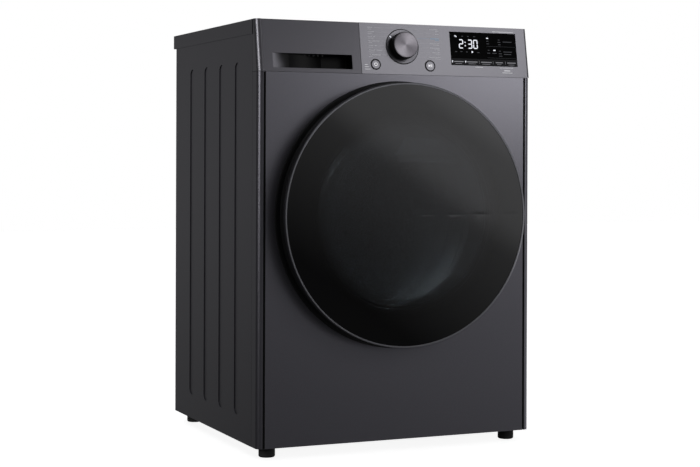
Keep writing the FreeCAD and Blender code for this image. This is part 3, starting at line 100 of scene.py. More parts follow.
# The control panel's own frame: x to the right and y up the leaning face, both from the knob's axis, and
# z out of it.
knob = joints["knob_spin"]
outwards = Vector(knob["axis"]).normalized()
rightwards = Vector((1, 0, 0))
upwards = outwards.cross(rightwards)
lean = Matrix((rightwards, upwards, outwards)).transposed().to_4x4()
panel = Matrix.Translation(Vector(knob["pos_m"])) @ lean

# The door's own frame: x to the right, y up and z out of the front, from the door's middle at y 0.
DOOR_HEIGHT = joints["drum_spin"]["pos_m"][2]
door = Matrix(((1, 0, 0, 0), (0, 0, -1, 0), (0, 1, 0, DOOR_HEIGHT), (0, 0, 0, 1)))

# ---------------------------------------------------------------------------------------------------
# Materials
# ---------------------------------------------------------------------------------------------------

# Blender's wave texture repeats every 0.314 units at a scale of 1.
WAVE_TURN = math.pi / 10

# Sprayed metallic paint: how much of it mirrors as metal, and how matt its flakes lie.
PAINT_METAL = 0.88
PAINT_GLOSS = (0.31, 0.38)

# Radii between which the black border of the door glass stops, and between which its tint then lightens.
BORDER_FADE = (0.214, 0.200)
TINT_FADE = (0.206, 0.160)


def linear(hex_colour):
    """An sRGB hex colour as linear red, green, blue and an alpha of 1."""
    parts = [int(hex_colour[start : start + 2], 16) / 255 for start in (1, 3, 5)]
    return (*(p / 12.92 if p <= 0.04045 else ((p + 0.055) / 1.055) ** 2.4 for p in parts), 1.0)


def add(tree, kind, values=None, links=None, **settings):
    """Adds one node: its settings, the values of its sockets, and what its sockets are linked to."""
    made = tree.nodes.new(kind)
    for name, value in settings.items():
        setattr(made, name, value)
    for socket, value in (values or {}).items():
        made.inputs[socket].default_value = value
    for socket, source in (links or {}).items():
        tree.links.new(source, made.inputs[socket])
    return made


def new_finish(name, **values):
    """A material with one Principled shader, its plain values set on its own sockets."""
    material = bpy.data.materials.new(name)
    material.use_nodes = True
    tree = material.node_tree
    tree.nodes.clear()
    sockets = {key.replace("_", " "): value for key, value in values.items()}
    shader = add(tree, "ShaderNodeBsdfPrincipled", sockets)
    add(tree, "ShaderNodeOutputMaterial", links={"Surface": shader.outputs[0]})
    return material, tree, shader


def grain(tree, shader, colours, roughness, size_mm, bump_mm, stretch=(1, 1, 1), detail=3.0):
    """Uneven tone, gloss and height from one noise, its lumps size_mm across and drawn out by stretch."""
    place = add(tree, "ShaderNodeTexCoord")
    scaled = add(tree, "ShaderNodeMapping", {"Scale": stretch}, {"Vector": place.outputs["Object"]})
    noise = add(
        tree,
        "ShaderNodeTexNoise",
        {"Scale": 1 / (size_mm * MM), "Detail": detail, "Roughness": 0.55},
        {"Vector": scaled.outputs[0]},
    )
    tone = add(tree, "ShaderNodeValToRGB", links={"Fac": noise.outputs["Fac"]})
    tone.color_ramp.elements[0].position, tone.color_ramp.elements[1].position = 0.3, 0.7
    tone.color_ramp.elements[0].color = linear(colours[0])
    tone.color_ramp.elements[1].color = linear(colours[1])
    gloss = add(
        tree,
        "ShaderNodeMapRange",
        {"From Min": 0.25, "From Max": 0.75, "To Min": roughness[0], "To Max": roughness[1]},
        {"Value": noise.outputs["Fac"]},
    )
    height = add(
        tree,
        "ShaderNodeBump",
        {"Distance": bump_mm * MM, "Strength": 1.0},
        {"Height": noise.outputs["Fac"]},
    )
    tree.links.new(tone.outputs["Color"], shader.inputs["Base Color"])
    tree.links.new(gloss.outputs["Result"], shader.inputs["Roughness"])
    tree.links.new(height.outputs["Normal"], shader.inputs["Normal"])
    return noise


def metallic_paint(name, colours, flake_mm):
    """Baked metallic paint on steel sheet: flakes sparkle faintly under a satin clear coat.

    Real flakes are about 0.03 mm; drawn coarser so that they show.
    """
    material, tree, shader = new_finish(name, Metallic=PAINT_METAL, Coat_Weight=0.2, Coat_Roughness=0.3)
    grain(tree, shader, colours, PAINT_GLOSS, flake_mm, 0.008, detail=2.0)
    return material


def paint_with_pocket_shade(name, colours, flake_mm):
    """The same paint on the drawer front, with painted shade in its handle pocket.

    Deeper in, and up under the top edge, its colour and metal fade to a soft black: painted shade.
    """
    material, tree, shader = new_finish(name, Specular_IOR_Level=0.08)
    grain(tree, shader, colours, PAINT_GLOSS, flake_mm, 0.008, detail=2.0)
    place = add(tree, "ShaderNodeTexCoord")
    from_knob = add(
        tree,
        "ShaderNodeVectorMath",
        {1: panel.translation},
        {0: place.outputs["Object"]},
        operation="SUBTRACT",
    )
    depth, rise = (
        add(tree, "ShaderNodeVectorMath", {1: way}, {0: from_knob.outputs[0]}, operation="DOT_PRODUCT")
        for way in (outwards, upwards)
    )
    # Painted shade: the paint's colour and metal fade to soft black with depth into the handle pocket, and
    # more so up under its top edge.
    depth_shade = add(
        tree,
        "ShaderNodeMapRange",
        {"From Min": -5.0 * MM, "From Max": -0.6 * MM, "To Min": 0.03},
        {"Value": depth.outputs["Value"]},
        interpolation_type="SMOOTHSTEP",
    )
    under_edge_shade = add(
        tree,
        "ShaderNodeMapRange",
        {"From Min": -42 * MM, "From Max": -18 * MM, "To Min": 1.0, "To Max": 0.1},
        {"Value": rise.outputs["Value"]},
    )
    inside = add(
        tree,
        "ShaderNodeMapRange",
        {"From Min": -3.0 * MM, "From Max": -0.8 * MM, "To Min": 1.0, "To Max": 0.0},
        {"Value": depth.outputs["Value"]},
    )
    edge_shade = add(
        tree, "ShaderNodeMix", {"A": 1.0}, {"Factor": inside.outputs[0], "B": under_edge_shade.outputs[0]}
    )
    cover = add(
        tree, "ShaderNodeMath", links={0: depth_shade.outputs[0], 1: edge_shade.outputs[0]}, operation="MULTIPLY"
    )
    paint = shader.inputs["Base Color"].links[0].from_socket
    tone = add(
        tree,
        "ShaderNodeMix",
        {6: linear("#060607")},
        {"Factor": cover.outputs[0], 7: paint},
        data_type="RGBA",
    )
    tree.links.new(tone.outputs[2], shader.inputs["Base Color"])
    metal = add(tree, "ShaderNodeMath", {1: PAINT_METAL}, {0: cover.outputs[0]}, operation="MULTIPLY")
    tree.links.new(metal.outputs[0], shader.inputs["Metallic"])
    return material


def moulded(name, colours, roughness=(0.38, 0.5), size_mm=1.2, bump_mm=0.02, **values):
    """Injection-moulded plastic, whose spark-eroded mould leaves a fine even grain."""
    material, tree, shader = new_finish(name, **{"IOR": 1.5, **values})
    grain(tree, shader, colours, roughness, size_mm, bump_mm)
    return material


def ink(name, colours, strength):
    """Screen-printed epoxy ink, matt and flat; it glows a little so that thin marks stay readable."""
    material, tree, shader = new_finish(name, IOR=1.5, Emission_Strength=strength)
    grain(tree, shader, colours, (0.5, 0.6), 1.0, 0.002)
    pigment = shader.inputs["Base Color"].links[0].from_socket
    tree.links.new(pigment, shader.inputs["Emission Color"])
    return material


def rolled_metal(name, colours, roughness, stretch, size_mm=2.0, bump_mm=0.01, **values):
    """Sheet or bar metal with the fine drawn-out lines that rolling or turning leaves."""
    material, tree, shader = new_finish(name, **{"Metallic": 1.0, **values})
    grain(tree, shader, colours, roughness, size_mm, bump_mm, stretch)
    return material


def zinc_coated():
    """Hot-dip zinc on steel: pale grey with flat crystals of spangle about 9 mm across."""
    material, tree, shader = new_finish("zinc_coated_steel", Metallic=1.0)
    place = add(tree, "ShaderNodeTexCoord")
    crystals = add(
        tree, "ShaderNodeTexVoronoi", {"Scale": 1 / (9 * MM)}, {"Vector": place.outputs["Object"]}
    )
    tone = add(tree, "ShaderNodeValToRGB", links={"Fac": crystals.outputs["Color"]})
    tone.color_ramp.elements[0].color = linear("#7f8387")
    tone.color_ramp.elements[1].color = linear("#a7abae")
    gloss = add(
        tree,
        "ShaderNodeMapRange",
        {"To Min": 0.34, "To Max": 0.52},
        {"Value": crystals.outputs["Distance"]},
    )
    height = add(
        tree, "ShaderNodeBump", {"Distance": 0.02 * MM}, {"Height": crystals.outputs["Distance"]}
    )
    tree.links.new(tone.outputs["Color"], shader.inputs["Base Color"])
    tree.links.new(gloss.outputs["Result"], shader.inputs["Roughness"])
    tree.links.new(height.outputs["Normal"], shader.inputs["Normal"])
    return material


def perforated_drum():
    """Stainless sheet of the drum, bright with soft lines from rolling. The holes are pieces."""
    material, tree, shader = new_finish("perforated_stainless_steel", Metallic=1.0)
    grain(tree, shader, ("#8d8f90", "#b4b6b7"), (0.2, 0.34), 3.0, 0.02, (1, 6, 1))
    return material


def smoked_glass():
    """Tempered door glass: a black printed border fades into a dark see-through middle."""
    material, tree, shader = new_finish("smoked_tempered_glass", IOR=1.5)
    place = add(tree, "ShaderNodeTexCoord")
    centre = add(
        tree,
        "ShaderNodeVectorMath",
        {1: (0.0, 0.0, -DOOR_HEIGHT)},
        {0: place.outputs["Object"]},
        operation="ADD",
    )
    flat = add(
        tree,
        "ShaderNodeVectorMath",
        {1: (1.0, 0.0, 1.0)},
        {0: centre.outputs[0]},
        operation="MULTIPLY",
    )
    radius = add(tree, "ShaderNodeVectorMath", links={0: flat.outputs[0]}, operation="LENGTH")
    clear, tinted = (
        add(
            tree,
            "ShaderNodeMapRange",
            {"From Min": outer, "From Max": inner},
            {"Value": radius.outputs["Value"]},
            interpolation_type="SMOOTHSTEP",
        )
        for outer, inner in (BORDER_FADE, TINT_FADE)
    )
    tone = add(tree, "ShaderNodeMix", links={"Factor": tinted.outputs["Result"]}, data_type="RGBA")
    tone.inputs[6].default_value = linear("#050506")
    tone.inputs[7].default_value = linear("#63666c")
    smear = add(
        tree,
        "ShaderNodeTexNoise",
        {"Scale": 9.0, "Detail": 3.0},
        {"Vector": place.outputs["Object"]},
    )
    gloss = add(
        tree,
        "ShaderNodeMapRange",
        {"From Min": 0.3, "From Max": 0.7, "To Min": 0.012, "To Max": 0.03},
        {"Value": smear.outputs["Fac"]},
    )
    tree.links.new(tone.outputs[2], shader.inputs["Base Color"])
    tree.links.new(clear.outputs["Result"], shader.inputs["Transmission Weight"])
    tree.links.new(gloss.outputs["Result"], shader.inputs["Roughness"])
    return material


def clear_window():
    """Pressed clear glass of the bowl, faintly blue-green, with slow ripples that bend what is behind."""
    material, tree, shader = new_finish(
        "pressed_clear_glass", IOR=1.5, Transmission_Weight=1.0, Roughness=0.0
    )
    place = add(tree, "ShaderNodeTexCoord")
    ripple = add(
        tree, "ShaderNodeTexNoise", {"Scale": 16.0, "Detail": 1.0}, {"Vector": place.outputs["Object"]}
    )
    tone = add(tree, "ShaderNodeValToRGB", links={"Fac": ripple.outputs["Fac"]})
    tone.color_ramp.elements[0].color = linear("#d5e3e2")
    tone.color_ramp.elements[1].color = linear("#e2ecea")
    height = add(tree, "ShaderNodeBump", {"Distance": 0.12 * MM}, {"Height": ripple.outputs["Fac"]})
    tree.links.new(tone.outputs["Color"], shader.inputs["Base Color"])
    tree.links.new(height.outputs["Normal"], shader.inputs["Normal"])
    return material


def finned_aluminium():
    """Stacked aluminium fins, 2 mm apart, seen on edge as fine bright lines, with painted shade as dark
    bands in the gaps between them.
    """
    material, tree, shader = new_finish("finned_aluminium", Metallic=1.0)
    place = add(tree, "ShaderNodeTexCoord")
    fins = add(
        tree,
        "ShaderNodeTexWave",
        {"Scale": WAVE_TURN / (2 * MM), "Distortion": 0.2},
        {"Vector": place.outputs["Object"]},
        bands_direction="X",
    )
    # Painted shade: the dark half of each wave stands for the shaded gap between two fins.
    tone = add(tree, "ShaderNodeValToRGB", links={"Fac": fins.outputs["Fac"]})
    tone.color_ramp.elements[0].color = linear("#55585a")
    tone.color_ramp.elements[1].color = linear("#b9bdbf")
    gloss = add(
        tree, "ShaderNodeMapRange", {"To Min": 0.5, "To Max": 0.3}, {"Value": fins.outputs["Fac"]}
    )
    height = add(tree, "ShaderNodeBump", {"Distance": 0.6 * MM}, {"Height": fins.outputs["Fac"]})
    tree.links.new(tone.outputs["Color"], shader.inputs["Base Color"])
    tree.links.new(gloss.outputs["Result"], shader.inputs["Roughness"])
    tree.links.new(height.outputs["Normal"], shader.inputs["Normal"])
    return material


def spun_aluminium():
    """Knob face turned on a lathe, whose rings pull the highlight into a fan. A painted reflection of two
    bright and two dark lobes round the middle is also drawn into its colour, and turns with the knob.

    The cutter leaves rings under 0.1 mm apart; drawn 1.2 mm apart so that they show.
    """
    material, tree, shader = new_finish("spun_aluminium", Metallic=1.0, Anisotropic=0.8)
    place = add(tree, "ShaderNodeTexCoord")
    rings = add(
        tree,
        "ShaderNodeTexWave",
        {"Scale": WAVE_TURN / (1.2 * MM), "Distortion": 0.1},
        {"Vector": place.outputs["Object"]},
        wave_type="RINGS",
        rings_direction="Z",
    )
    # Painted reflection: two bright and two dark lobes round the face's middle, drawn into its colour.
    turn = add(
        tree, "ShaderNodeTexGradient", links={"Vector": place.outputs["Object"]}, gradient_type="RADIAL"
    )
    two_lobes, first_lobe = 4 * math.pi, -1.7
    lobes = add(
        tree,
        "ShaderNodeMath",
        {1: two_lobes, 2: first_lobe},
        {0: turn.outputs["Fac"]},
        operation="MULTIPLY_ADD",
    )
    fan = add(tree, "ShaderNodeMath", links={0: lobes.outputs[0]}, operation="COSINE")
    painted_fan_tone = add(
        tree, "ShaderNodeMath", {1: 0.35, 2: 0.5}, {0: fan.outputs[0]}, operation="MULTIPLY_ADD"
    )
    lined = add(
        tree,
        "ShaderNodeMath",
        {1: 0.12},
        {0: rings.outputs["Fac"], 2: painted_fan_tone.outputs[0]},
        operation="MULTIPLY_ADD",
    )
    tone = add(tree, "ShaderNodeValToRGB", links={"Fac": lined.outputs[0]})
    tone.color_ramp.elements[0].color = linear("#3b393d")
    tone.color_ramp.elements[1].color = linear("#6e6b70")
    gloss = add(
        tree, "ShaderNodeMapRange", {"To Min": 0.26, "To Max": 0.36}, {"Value": rings.outputs["Fac"]}
    )
    height = add(tree, "ShaderNodeBump", {"Distance": 0.004 * MM}, {"Height": rings.outputs["Fac"]})
    round_axis = add(tree, "ShaderNodeTangent", direction_type="RADIAL", axis="Z")
    tree.links.new(tone.outputs["Color"], shader.inputs["Base Color"])
    tree.links.new(gloss.outputs["Result"], shader.inputs["Roughness"])
    tree.links.new(height.outputs["Normal"], shader.inputs["Normal"])
    tree.links.new(round_axis.outputs["Tangent"], shader.inputs["Tangent"])
    return material


def glowing(name, colour, strength):
    """Light-emitting segments behind the display glass, a little uneven from the diffuser."""
    material, tree, shader = new_finish(name, Base_Color=linear("#101010"), Roughness=0.5)
    place = add(tree, "ShaderNodeTexCoord")
    uneven = add(
        tree, "ShaderNodeTexNoise", {"Scale": 1 / (3 * MM)}, {"Vector": place.outputs["Object"]}
    )
    tone = add(tree, "ShaderNodeValToRGB", links={"Fac": uneven.outputs["Fac"]})
    dim = [channel * 0.85 for channel in linear(colour)[:3]]
    tone.color_ramp.elements[0].color = (*dim, 1.0)
    tone.color_ramp.elements[1].color = linear(colour)
    tree.links.new(tone.outputs["Color"], shader.inputs["Emission Color"])
    shader.inputs["Emission Strength"].default_value = strength
    return material


finish = {
    # Baked paint on pressed steel: satin dark grey that pales towards the light.
    "cabinet_steel": metallic_paint("metallic_paint_on_steel", ("#504f55", "#5a595f"), 0.7),
    # The same paint on the moulded control panel, a shade lighter.
    "panel_plastic": metallic_paint("metallic_painted_abs", ("#57565b", "#626166"), 0.5),
    # The lid's paint, a little coarser in its flakes.
    "lid_laminate": metallic_paint("metallic_painted_lid", ("#504f55", "#5b5a60"), 0.9),
    # Moulded ABS: deep black with a soft even sheen.
    "black_plastic": moulded("black_abs", ("#0b0b0d", "#0f0f11"), (0.42, 0.52)),
    # Tempered glass: glossy black border, see-through only in the middle.
    "smoked_glass": smoked_glass(),
    # Pressed glass bowl: clear, slightly green where it is thick.
    "window_glass": clear_window(),
    # Anodised aluminium: a thin satin line of light round the door.
    "bright_trim": rolled_metal("satin_anodised_rim", ("#6c6c70", "#7c7c80"), (0.28, 0.38), (1, 1, 1)),
    # Aluminium turned on a lathe, with bright and dark fans of painted reflection that meet in the middle.
    "knob_metal": spun_aluminium(),
    # Hard-coated acrylic: flat gloss black over the display.
    "display_glass": moulded(
        "hard_coated_acrylic", ("#050506", "#080809"), (0.16, 0.22), 6.0, 0.001, IOR=1.2
    ),
    # Moulded rubber: matt near-black.
    "foot_rubber": moulded("black_rubber", ("#151515", "#1f1f1f"), (0.7, 0.85), 0.8, 0.06),
    # Moulded silicone: dull dark grey, no highlights.
    "seal_rubber": moulded("grey_silicone_rubber", ("#2c2c2e", "#363638"), (0.55, 0.7), 1.0, 0.04),
    # Pressed wool: fuzzy warm grey with a pale bloom at its edges.
    "felt": moulded("pressed_wool_felt", ("#7d7870", "#9a948b"), (0.9, 1.0), 0.9, 0.4, Sheen_Weight=0.5),
    # Extruded rubber, matt near-black: laid in the front's creases as painted shade, their darkest line.
    "seal_black": moulded("black_epdm_rubber", ("#030304", "#050506"), (0.7, 0.85), 0.8, 0.03, IOR=1.3),
    # Hot-dip zinc: pale grey patchwork of crystals on the back.
    "galvanised_steel": zinc_coated(),
    # Rolled stainless: bright, with light drawn out round the drum.
    "drum_steel": perforated_drum(),
    # Zinc plate on shafts and screws: clean cool metal.
    "steel_hardware": rolled_metal("zinc_plated_steel", ("#85878a", "#a3a5a8"), (0.25, 0.4), (1, 1, 6)),
    # Polypropylene mouldings inside: plain waxy mid grey.
    "inner_plastic": moulded("grey_polypropylene", ("#7b7e82", "#85888c")),
    # Pale polypropylene: light grey trays and sleeves.
    "pale_plastic": moulded("pale_grey_polypropylene", ("#b9bbbd", "#c6c8ca")),
    # Blow-moulded polypropylene: frosted bluish white.
    "tank_plastic": moulded("frosted_polypropylene", ("#b6bfc6", "#c9d1d7"), (0.4, 0.5)),
    # Fin packs: fine bright lines, with painted shade in the gaps between them.
    "finned_aluminium": finned_aluminium(),
    # Stoved enamel: wet-looking black with a slow orange-peel ripple.
    "compressor_enamel": moulded("black_enamel_on_steel", ("#0c0c0d", "#121213"), (0.14, 0.22), 6.0, 0.05),
    # Drawn tube: warm red metal.
    "copper": rolled_metal("drawn_copper", ("#a8613c", "#c4794f"), (0.22, 0.38), (1, 1, 1), 4.0),
    # Solder mask over fibreglass: glossy dark green.
    "board": moulded("green_solder_mask", ("#0c3a1c", "#114726"), (0.25, 0.35), 2.0, 0.03),
    # Painted button caps, slightly paler than the panel.
    "button_plastic": metallic_paint("metallic_painted_button", ("#5c5b60", "#66656a"), 0.5),
}

# Inks and lights on the control panel.
printed = ink("white_print", ("#c4c4c8", "#d2d2d6"), 0.42)
printed_dim = ink("grey_print", ("#a9a9af", "#b5b5ba"), 0.3)
printed_blue = ink("blue_print", ("#7d9cb5", "#8aa8c0"), 0.25)
printed_bright = ink("bright_white_print", ("#f0f0f4", "#ffffff"), 0.7)
pocket_shaded_paint = paint_with_pocket_shade("sprayed_drawer_front", ("#5c5b60", "#67666b"), 0.5)
segment_white = glowing("white_segments", "#f4f6ff", 1.1)
segment_dim = glowing("dim_segments", "#6a6c72", 0.35)
touch_grey = moulded("grey_printed_strip", ("#27272b", "#2e2e32"), (0.12, 0.2), 3.0, 0.002)

for row in frame["record"]["subparts"]:
    node = frame["nodes"][row["node"]]
    node.data.materials.clear()
    node.data.materials.append(finish[row["material_slot"]])
# The drawer front takes the paint with painted shade in its handle pocket.
frame["nodes"]["drawer_front"].data.materials[0] = pocket_shaded_paint
frame["nodes"]["knob_ring"].data.materials[0] = finish["panel_plastic"]

# ---------------------------------------------------------------------------------------------------
# Small pieces
# ---------------------------------------------------------------------------------------------------


def as_piece(name, shape, material, body, place=None):
    """Turns built geometry into a piece that rides on a body."""
    mesh = bpy.data.meshes.new(name)
    bmesh.ops.recalc_face_normals(shape, faces=shape.faces)
    shape.to_mesh(mesh)
    shape.free()
    mesh.materials.append(material)
    made = bpy.data.objects.new(name, mesh)
    bpy.context.scene.collection.objects.link(made)
    if place is not None:
        made.matrix_world = place
    for face in mesh.polygons:
        face.use_smooth = True
    mesh.set_sharp_from_angle(angle=math.radians(32))
    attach(made, body)
    return made


def prism(shape, outline, low, high):
    """A flat outline, in mm, raised from low to high."""
    below = [shape.verts.new((x * MM, y * MM, low * MM)) for x, y in outline]
    above = [shape.verts.new((x * MM, y * MM, high * MM)) for x, y in outline]
    shape.faces.new(list(reversed(below)))
    shape.faces.new(above)
    for here in range(len(outline)):
        there = (here + 1) % len(outline)
        shape.faces.new((below[here], below[there], above[there], above[here]))


def capsule(left, right, middle, height):
    """The outline of a level bar with round ends."""
    half = height / 2
    steps = 6
    ends = []
    for centre, turn in ((right - half, -90), (left + half, 90)):
        for step in range(steps + 1):
            angle = math.radians(turn + 180 * step / steps)
            ends.append((centre + half * math.cos(angle), middle + half * math.sin(angle)))
    return ends


def capsule_upright(x, low, high, width):
    """The outline of an upright bar with round ends."""
    return [(x - v, u) for u, v in capsule(low, high, 0, width)]


def disc(x, y, radius, steps=28):
    """The outline of a round dot."""
    return [
        (x + radius * math.cos(2 * math.pi * s / steps), y + radius * math.sin(2 * math.pi * s / steps))
        for s in range(steps)
    ]


def lathe(shape, profile, steps=96):
    """Turns a profile of (radius, height), in mm, round Z. A radius of 0 closes it at the axis."""
    rings = []
    for radius, height in profile:
        if radius == 0:
            rings.append([shape.verts.new((0, 0, height * MM))])
            continue
        rings.append(
            [
                shape.verts.new(
                    (
                        radius * MM * math.cos(2 * math.pi * s / steps),
                        radius * MM * math.sin(2 * math.pi * s / steps),
                        height * MM,
                    )
                )
                for s in range(steps)
            ]
        )
    for inner, outer in zip(rings, rings[1:]):
        for s in range(steps):
            t = (s + 1) % steps
            corners = [inner[i % len(inner)] for i in (s, t)] + [outer[i % len(outer)] for i in (t, s)]
            shape.faces.new(list(dict.fromkeys(corners)))


def on_panel(node):
    """A node's centre in the panel's frame, in mm."""
    low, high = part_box(node)
    return (panel.inverted() @ ((low + high) / 2)) / MM


def face_height(node):
    """How far a node's foremost point stands out of the panel, in mm."""
    return max((panel.inverted() @ v.co).z for v in frame["nodes"][node].data.vertices) / MM


def left_end(node):
    """Where a node's left end lies in the panel's frame, in mm."""
    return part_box(node)[0].x / MM - knob["pos_m"][0] / MM


def make_knob():
    """Aluminium face, very slightly dished inside a thin chamfer, on a black skirt with fine grip ribs."""
    dished = [(0, 17.5), (8, 17.55), (16, 17.75), (24.6, 18.0)]
    chamfer = [(25.8, 17.8), (26.6, 16.9), (26.6, 15.6), (0, 15.6)]
    shape = bmesh.new()
    lathe(shape, dished + chamfer, steps=144)
    as_piece("knob_spun_face", shape, finish["knob_metal"], "knob", panel)

    shape = bmesh.new()
    ribs, crest, rib_root, widest = 72, 0.35, 26.9, 27.5
    foot = [(0, 0.9), (26.2, 0.9), (27.3, 1.4)]
    side = [(widest, 4.0), (27.3, 9.0), (27.0, 14.6), (26.4, 15.6), (0, 15.6)]
    lathe(shape, foot + side, steps=4 * ribs)
    for corner in shape.verts:
        round_axis = math.atan2(corner.co.y, corner.co.x)
        if rib_root * MM < corner.co.xy.length:
            corner.co.xy *= 1 - crest / widest * (0.5 - 0.5 * math.cos(ribs * round_axis))
    skirt = as_piece("knob_skirt", shape, finish["black_plastic"], "knob", panel)
    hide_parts("knob")


make_knob()


# Bars that stand for the programme names, row by row from the top. On the left each pair is where a bar
# starts and how long it is; on the right each pair is the upper and the lower bar's length.
LEFT_WORDS = (
    (0, 11),
    (0, 15),
    (0, 9, 11, 5),
    (0, 5, 7, 18),
    (0, 11, 13, 6),
    (0, 14, 16, 14),
    (0, 4, 6, 20),
)
RIGHT_WORDS = ((21, 8), (8, 0), (20, 9), (22, 14), (22, 12), (18, 10), (26, 12))
BLUE_ROW = 2
TOP_ROW, LEFT_STEP, RIGHT_STEP = 37.5, 9.3, 9.6
LEFT_EDGE, RIGHT_EDGE = -74.0, 83.6
WORD_TALL, LINE_TALL, LINE_GAP = 1.5, 0.35, 2.5

# How high printed ink starts and ends above the panel's face.
PRINT_HEIGHTS = (0.02, 0.08)

# Small print: left end, right end, middle height and thickness of each bar.
SMALL_PRINT = (
    (207, 257, 37.9, 1.3),
    (162, 180, -37.6, 1.1),
    (219, 250, -37.8, 0.9),
    (228, 243, -43.6, 2.2),
    (224, 248, -48.0, 1.2),
)


def edge_of_dial(y):
    """How far to the side, at height y, the thin lines stop short of the knob's ring."""
    dial = 40
    return math.sqrt(max(dial * dial - y * y, 100))


def make_panel_print():
    """Programme names as plain bars with a thin line to the ring, and small marks beside the buttons."""
    shape = bmesh.new()
    for row, words in enumerate(LEFT_WORDS):
        y = TOP_ROW - LEFT_STEP * row
        x = LEFT_EDGE
        for start, length in zip(words[::2], words[1::2]):
            prism(shape, capsule(x + start, x + start + length, y, WORD_TALL), *PRINT_HEIGHTS)
        prism(shape, capsule(x, x + 8 + 2 * (row % 3), y - 3.6, 1.0), *PRINT_HEIGHTS)
        reach = -edge_of_dial(y)
        ends = x + words[-2] + words[-1] + LINE_GAP
        if reach - 1 > ends:
            prism(shape, capsule(ends, reach, y, LINE_TALL), *PRINT_HEIGHTS)
    as_piece("programme_marks_left", shape, printed_dim, "cabinet", panel)

    shape, blue = bmesh.new(), bmesh.new()
    for row, lengths in enumerate(RIGHT_WORDS):
        y = TOP_ROW - RIGHT_STEP * row
        right = RIGHT_EDGE
        target = blue if row == BLUE_ROW else shape
        for step, length in enumerate(lengths):
            if length:
                bar = capsule(right - length, right, y - 3.4 * step, WORD_TALL - 0.4 * step)
                prism(target, bar, *PRINT_HEIGHTS)
        reach = edge_of_dial(y)
        if reach + 1 < right - lengths[0] - LINE_GAP:
            prism(target, capsule(reach, right - lengths[0] - LINE_GAP, y, LINE_TALL), *PRINT_HEIGHTS)
    as_piece("programme_marks_right", shape, printed_dim, "cabinet", panel)
    as_piece("programme_mark_blue", blue, printed_blue, "cabinet", panel)

    shape = bmesh.new()
    for index, length in enumerate((7, 9, 12)):
        prism(shape, capsule(-85, -85 + length, -38.6 - 4.6 * index, 1.3), *PRINT_HEIGHTS)
    for left, right, y, tall in SMALL_PRINT:
        prism(shape, capsule(left, right, y, tall), *PRINT_HEIGHTS)
    as_piece("panel_small_print", shape, printed, "cabinet", panel)


make_panel_print()


def arc_band(shape, x, y, radius, width, start, end, low, high, steps=24):
    """Part of a ring, from one angle to another in degrees."""
    outer, inner = radius + width / 2, radius - width / 2
    angles = [math.radians(start + (end - start) * s / steps) for s in range(steps + 1)]
    outline = [(x + outer * math.cos(a), y + outer * math.sin(a)) for a in angles]
    outline += [(x + inner * math.cos(a), y + inner * math.sin(a)) for a in reversed(angles)]
    prism(shape, outline, low, high)


def make_button_icons():
    """A power sign on one button and play and pause signs on the other."""
    centre = on_panel("power_button")
    face = face_height("power_button")
    low, high = face + 0.01, face + 0.1
    shape = bmesh.new()
    arc_band(shape, centre.x, centre.y, 3.1, 0.9, 122, 418, low, high)
    prism(shape, capsule_upright(centre.x, centre.y + 0.6, centre.y + 4.4, 0.9), low, high)
    as_piece("power_sign", shape, printed_bright, "power_button", panel)

    centre = on_panel("start_button")
    face = face_height("start_button")
    low, high = face + 0.01, face + 0.1
    shape = bmesh.new()
    left = centre.x - 3.6
    prism(shape, [(left, centre.y - 3), (left + 3.6, centre.y), (left, centre.y + 3)], low, high)
    for index in range(2):
        x = centre.x + 1.5 + 2.2 * index
        prism(shape, capsule_upright(x, centre.y - 3, centre.y + 3, 1.1), low, high)
    as_piece("start_sign", shape, printed_bright, "start_button", panel)


make_button_icons()

# Which of the seven strokes each digit lights: from the top one clockwise to the upper left, then the
# middle.
STROKES = {"2": (0, 1, 3, 4, 6), "3": (0, 1, 2, 3, 6), "0": (0, 1, 2, 3, 4, 5)}


def stroke_outline(index, x, y, wide, tall, thick):
    """One stroke of a seven-stroke digit whose lower left corner is at x, y."""
    half, gap = tall / 2, 0.35
    flat = {0: (x, y + tall), 3: (x, y), 6: (x, y + half)}
    if index in flat:
        left, middle = flat[index]
        return capsule(left + gap, left + wide - gap, middle, thick)
    side = x + wide if index in (1, 2) else x
    low = y + (half if index in (1, 5) else 0)
    return capsule_upright(side, low + gap, low + half - gap, thick)


# The digits of the time left, each with its distance from the window's left end.
DIGITS = (("2", 21.0), ("3", 41.5), ("0", 54.0))

# Lit signs, as bars: left end and right end from the window's left end, middle height and thickness.
LIT_BARS = ((10.5, 15, 26.8, 1.2), (11.5, 16.5, 24.8, 1.2), (84, 89, 23.6, 2.2), (98.5, 104, -1.3, 2.2))

# Dim bars that stand for words: left end from the window's left end, middle height and length.
DIM_BARS = (
    (84, 17.5, 5), (84, 12, 6), (111, 21, 4), (110, 16, 7), (111, 11, 6), (122, 17, 21),
    (86, -1.5, 4), (84, -7.5, 7), (96, -7.5, 10), (112, -2.5, 4), (111, -8, 7), (111, -13, 8),
    (122, -4, 20), (123, -9, 17), (10, -6.5, 5), (22, -6, 5), (35, -6.5, 4), (61, -7, 5), (27, 26, 4),
    (40, 26, 4), (54, 26, 5),
)

# Touch keys: left end from the window's left end, and length.
TOUCH_KEYS = ((6, 22), (36, 24), (68, 25), (102, 17), (129, 20))


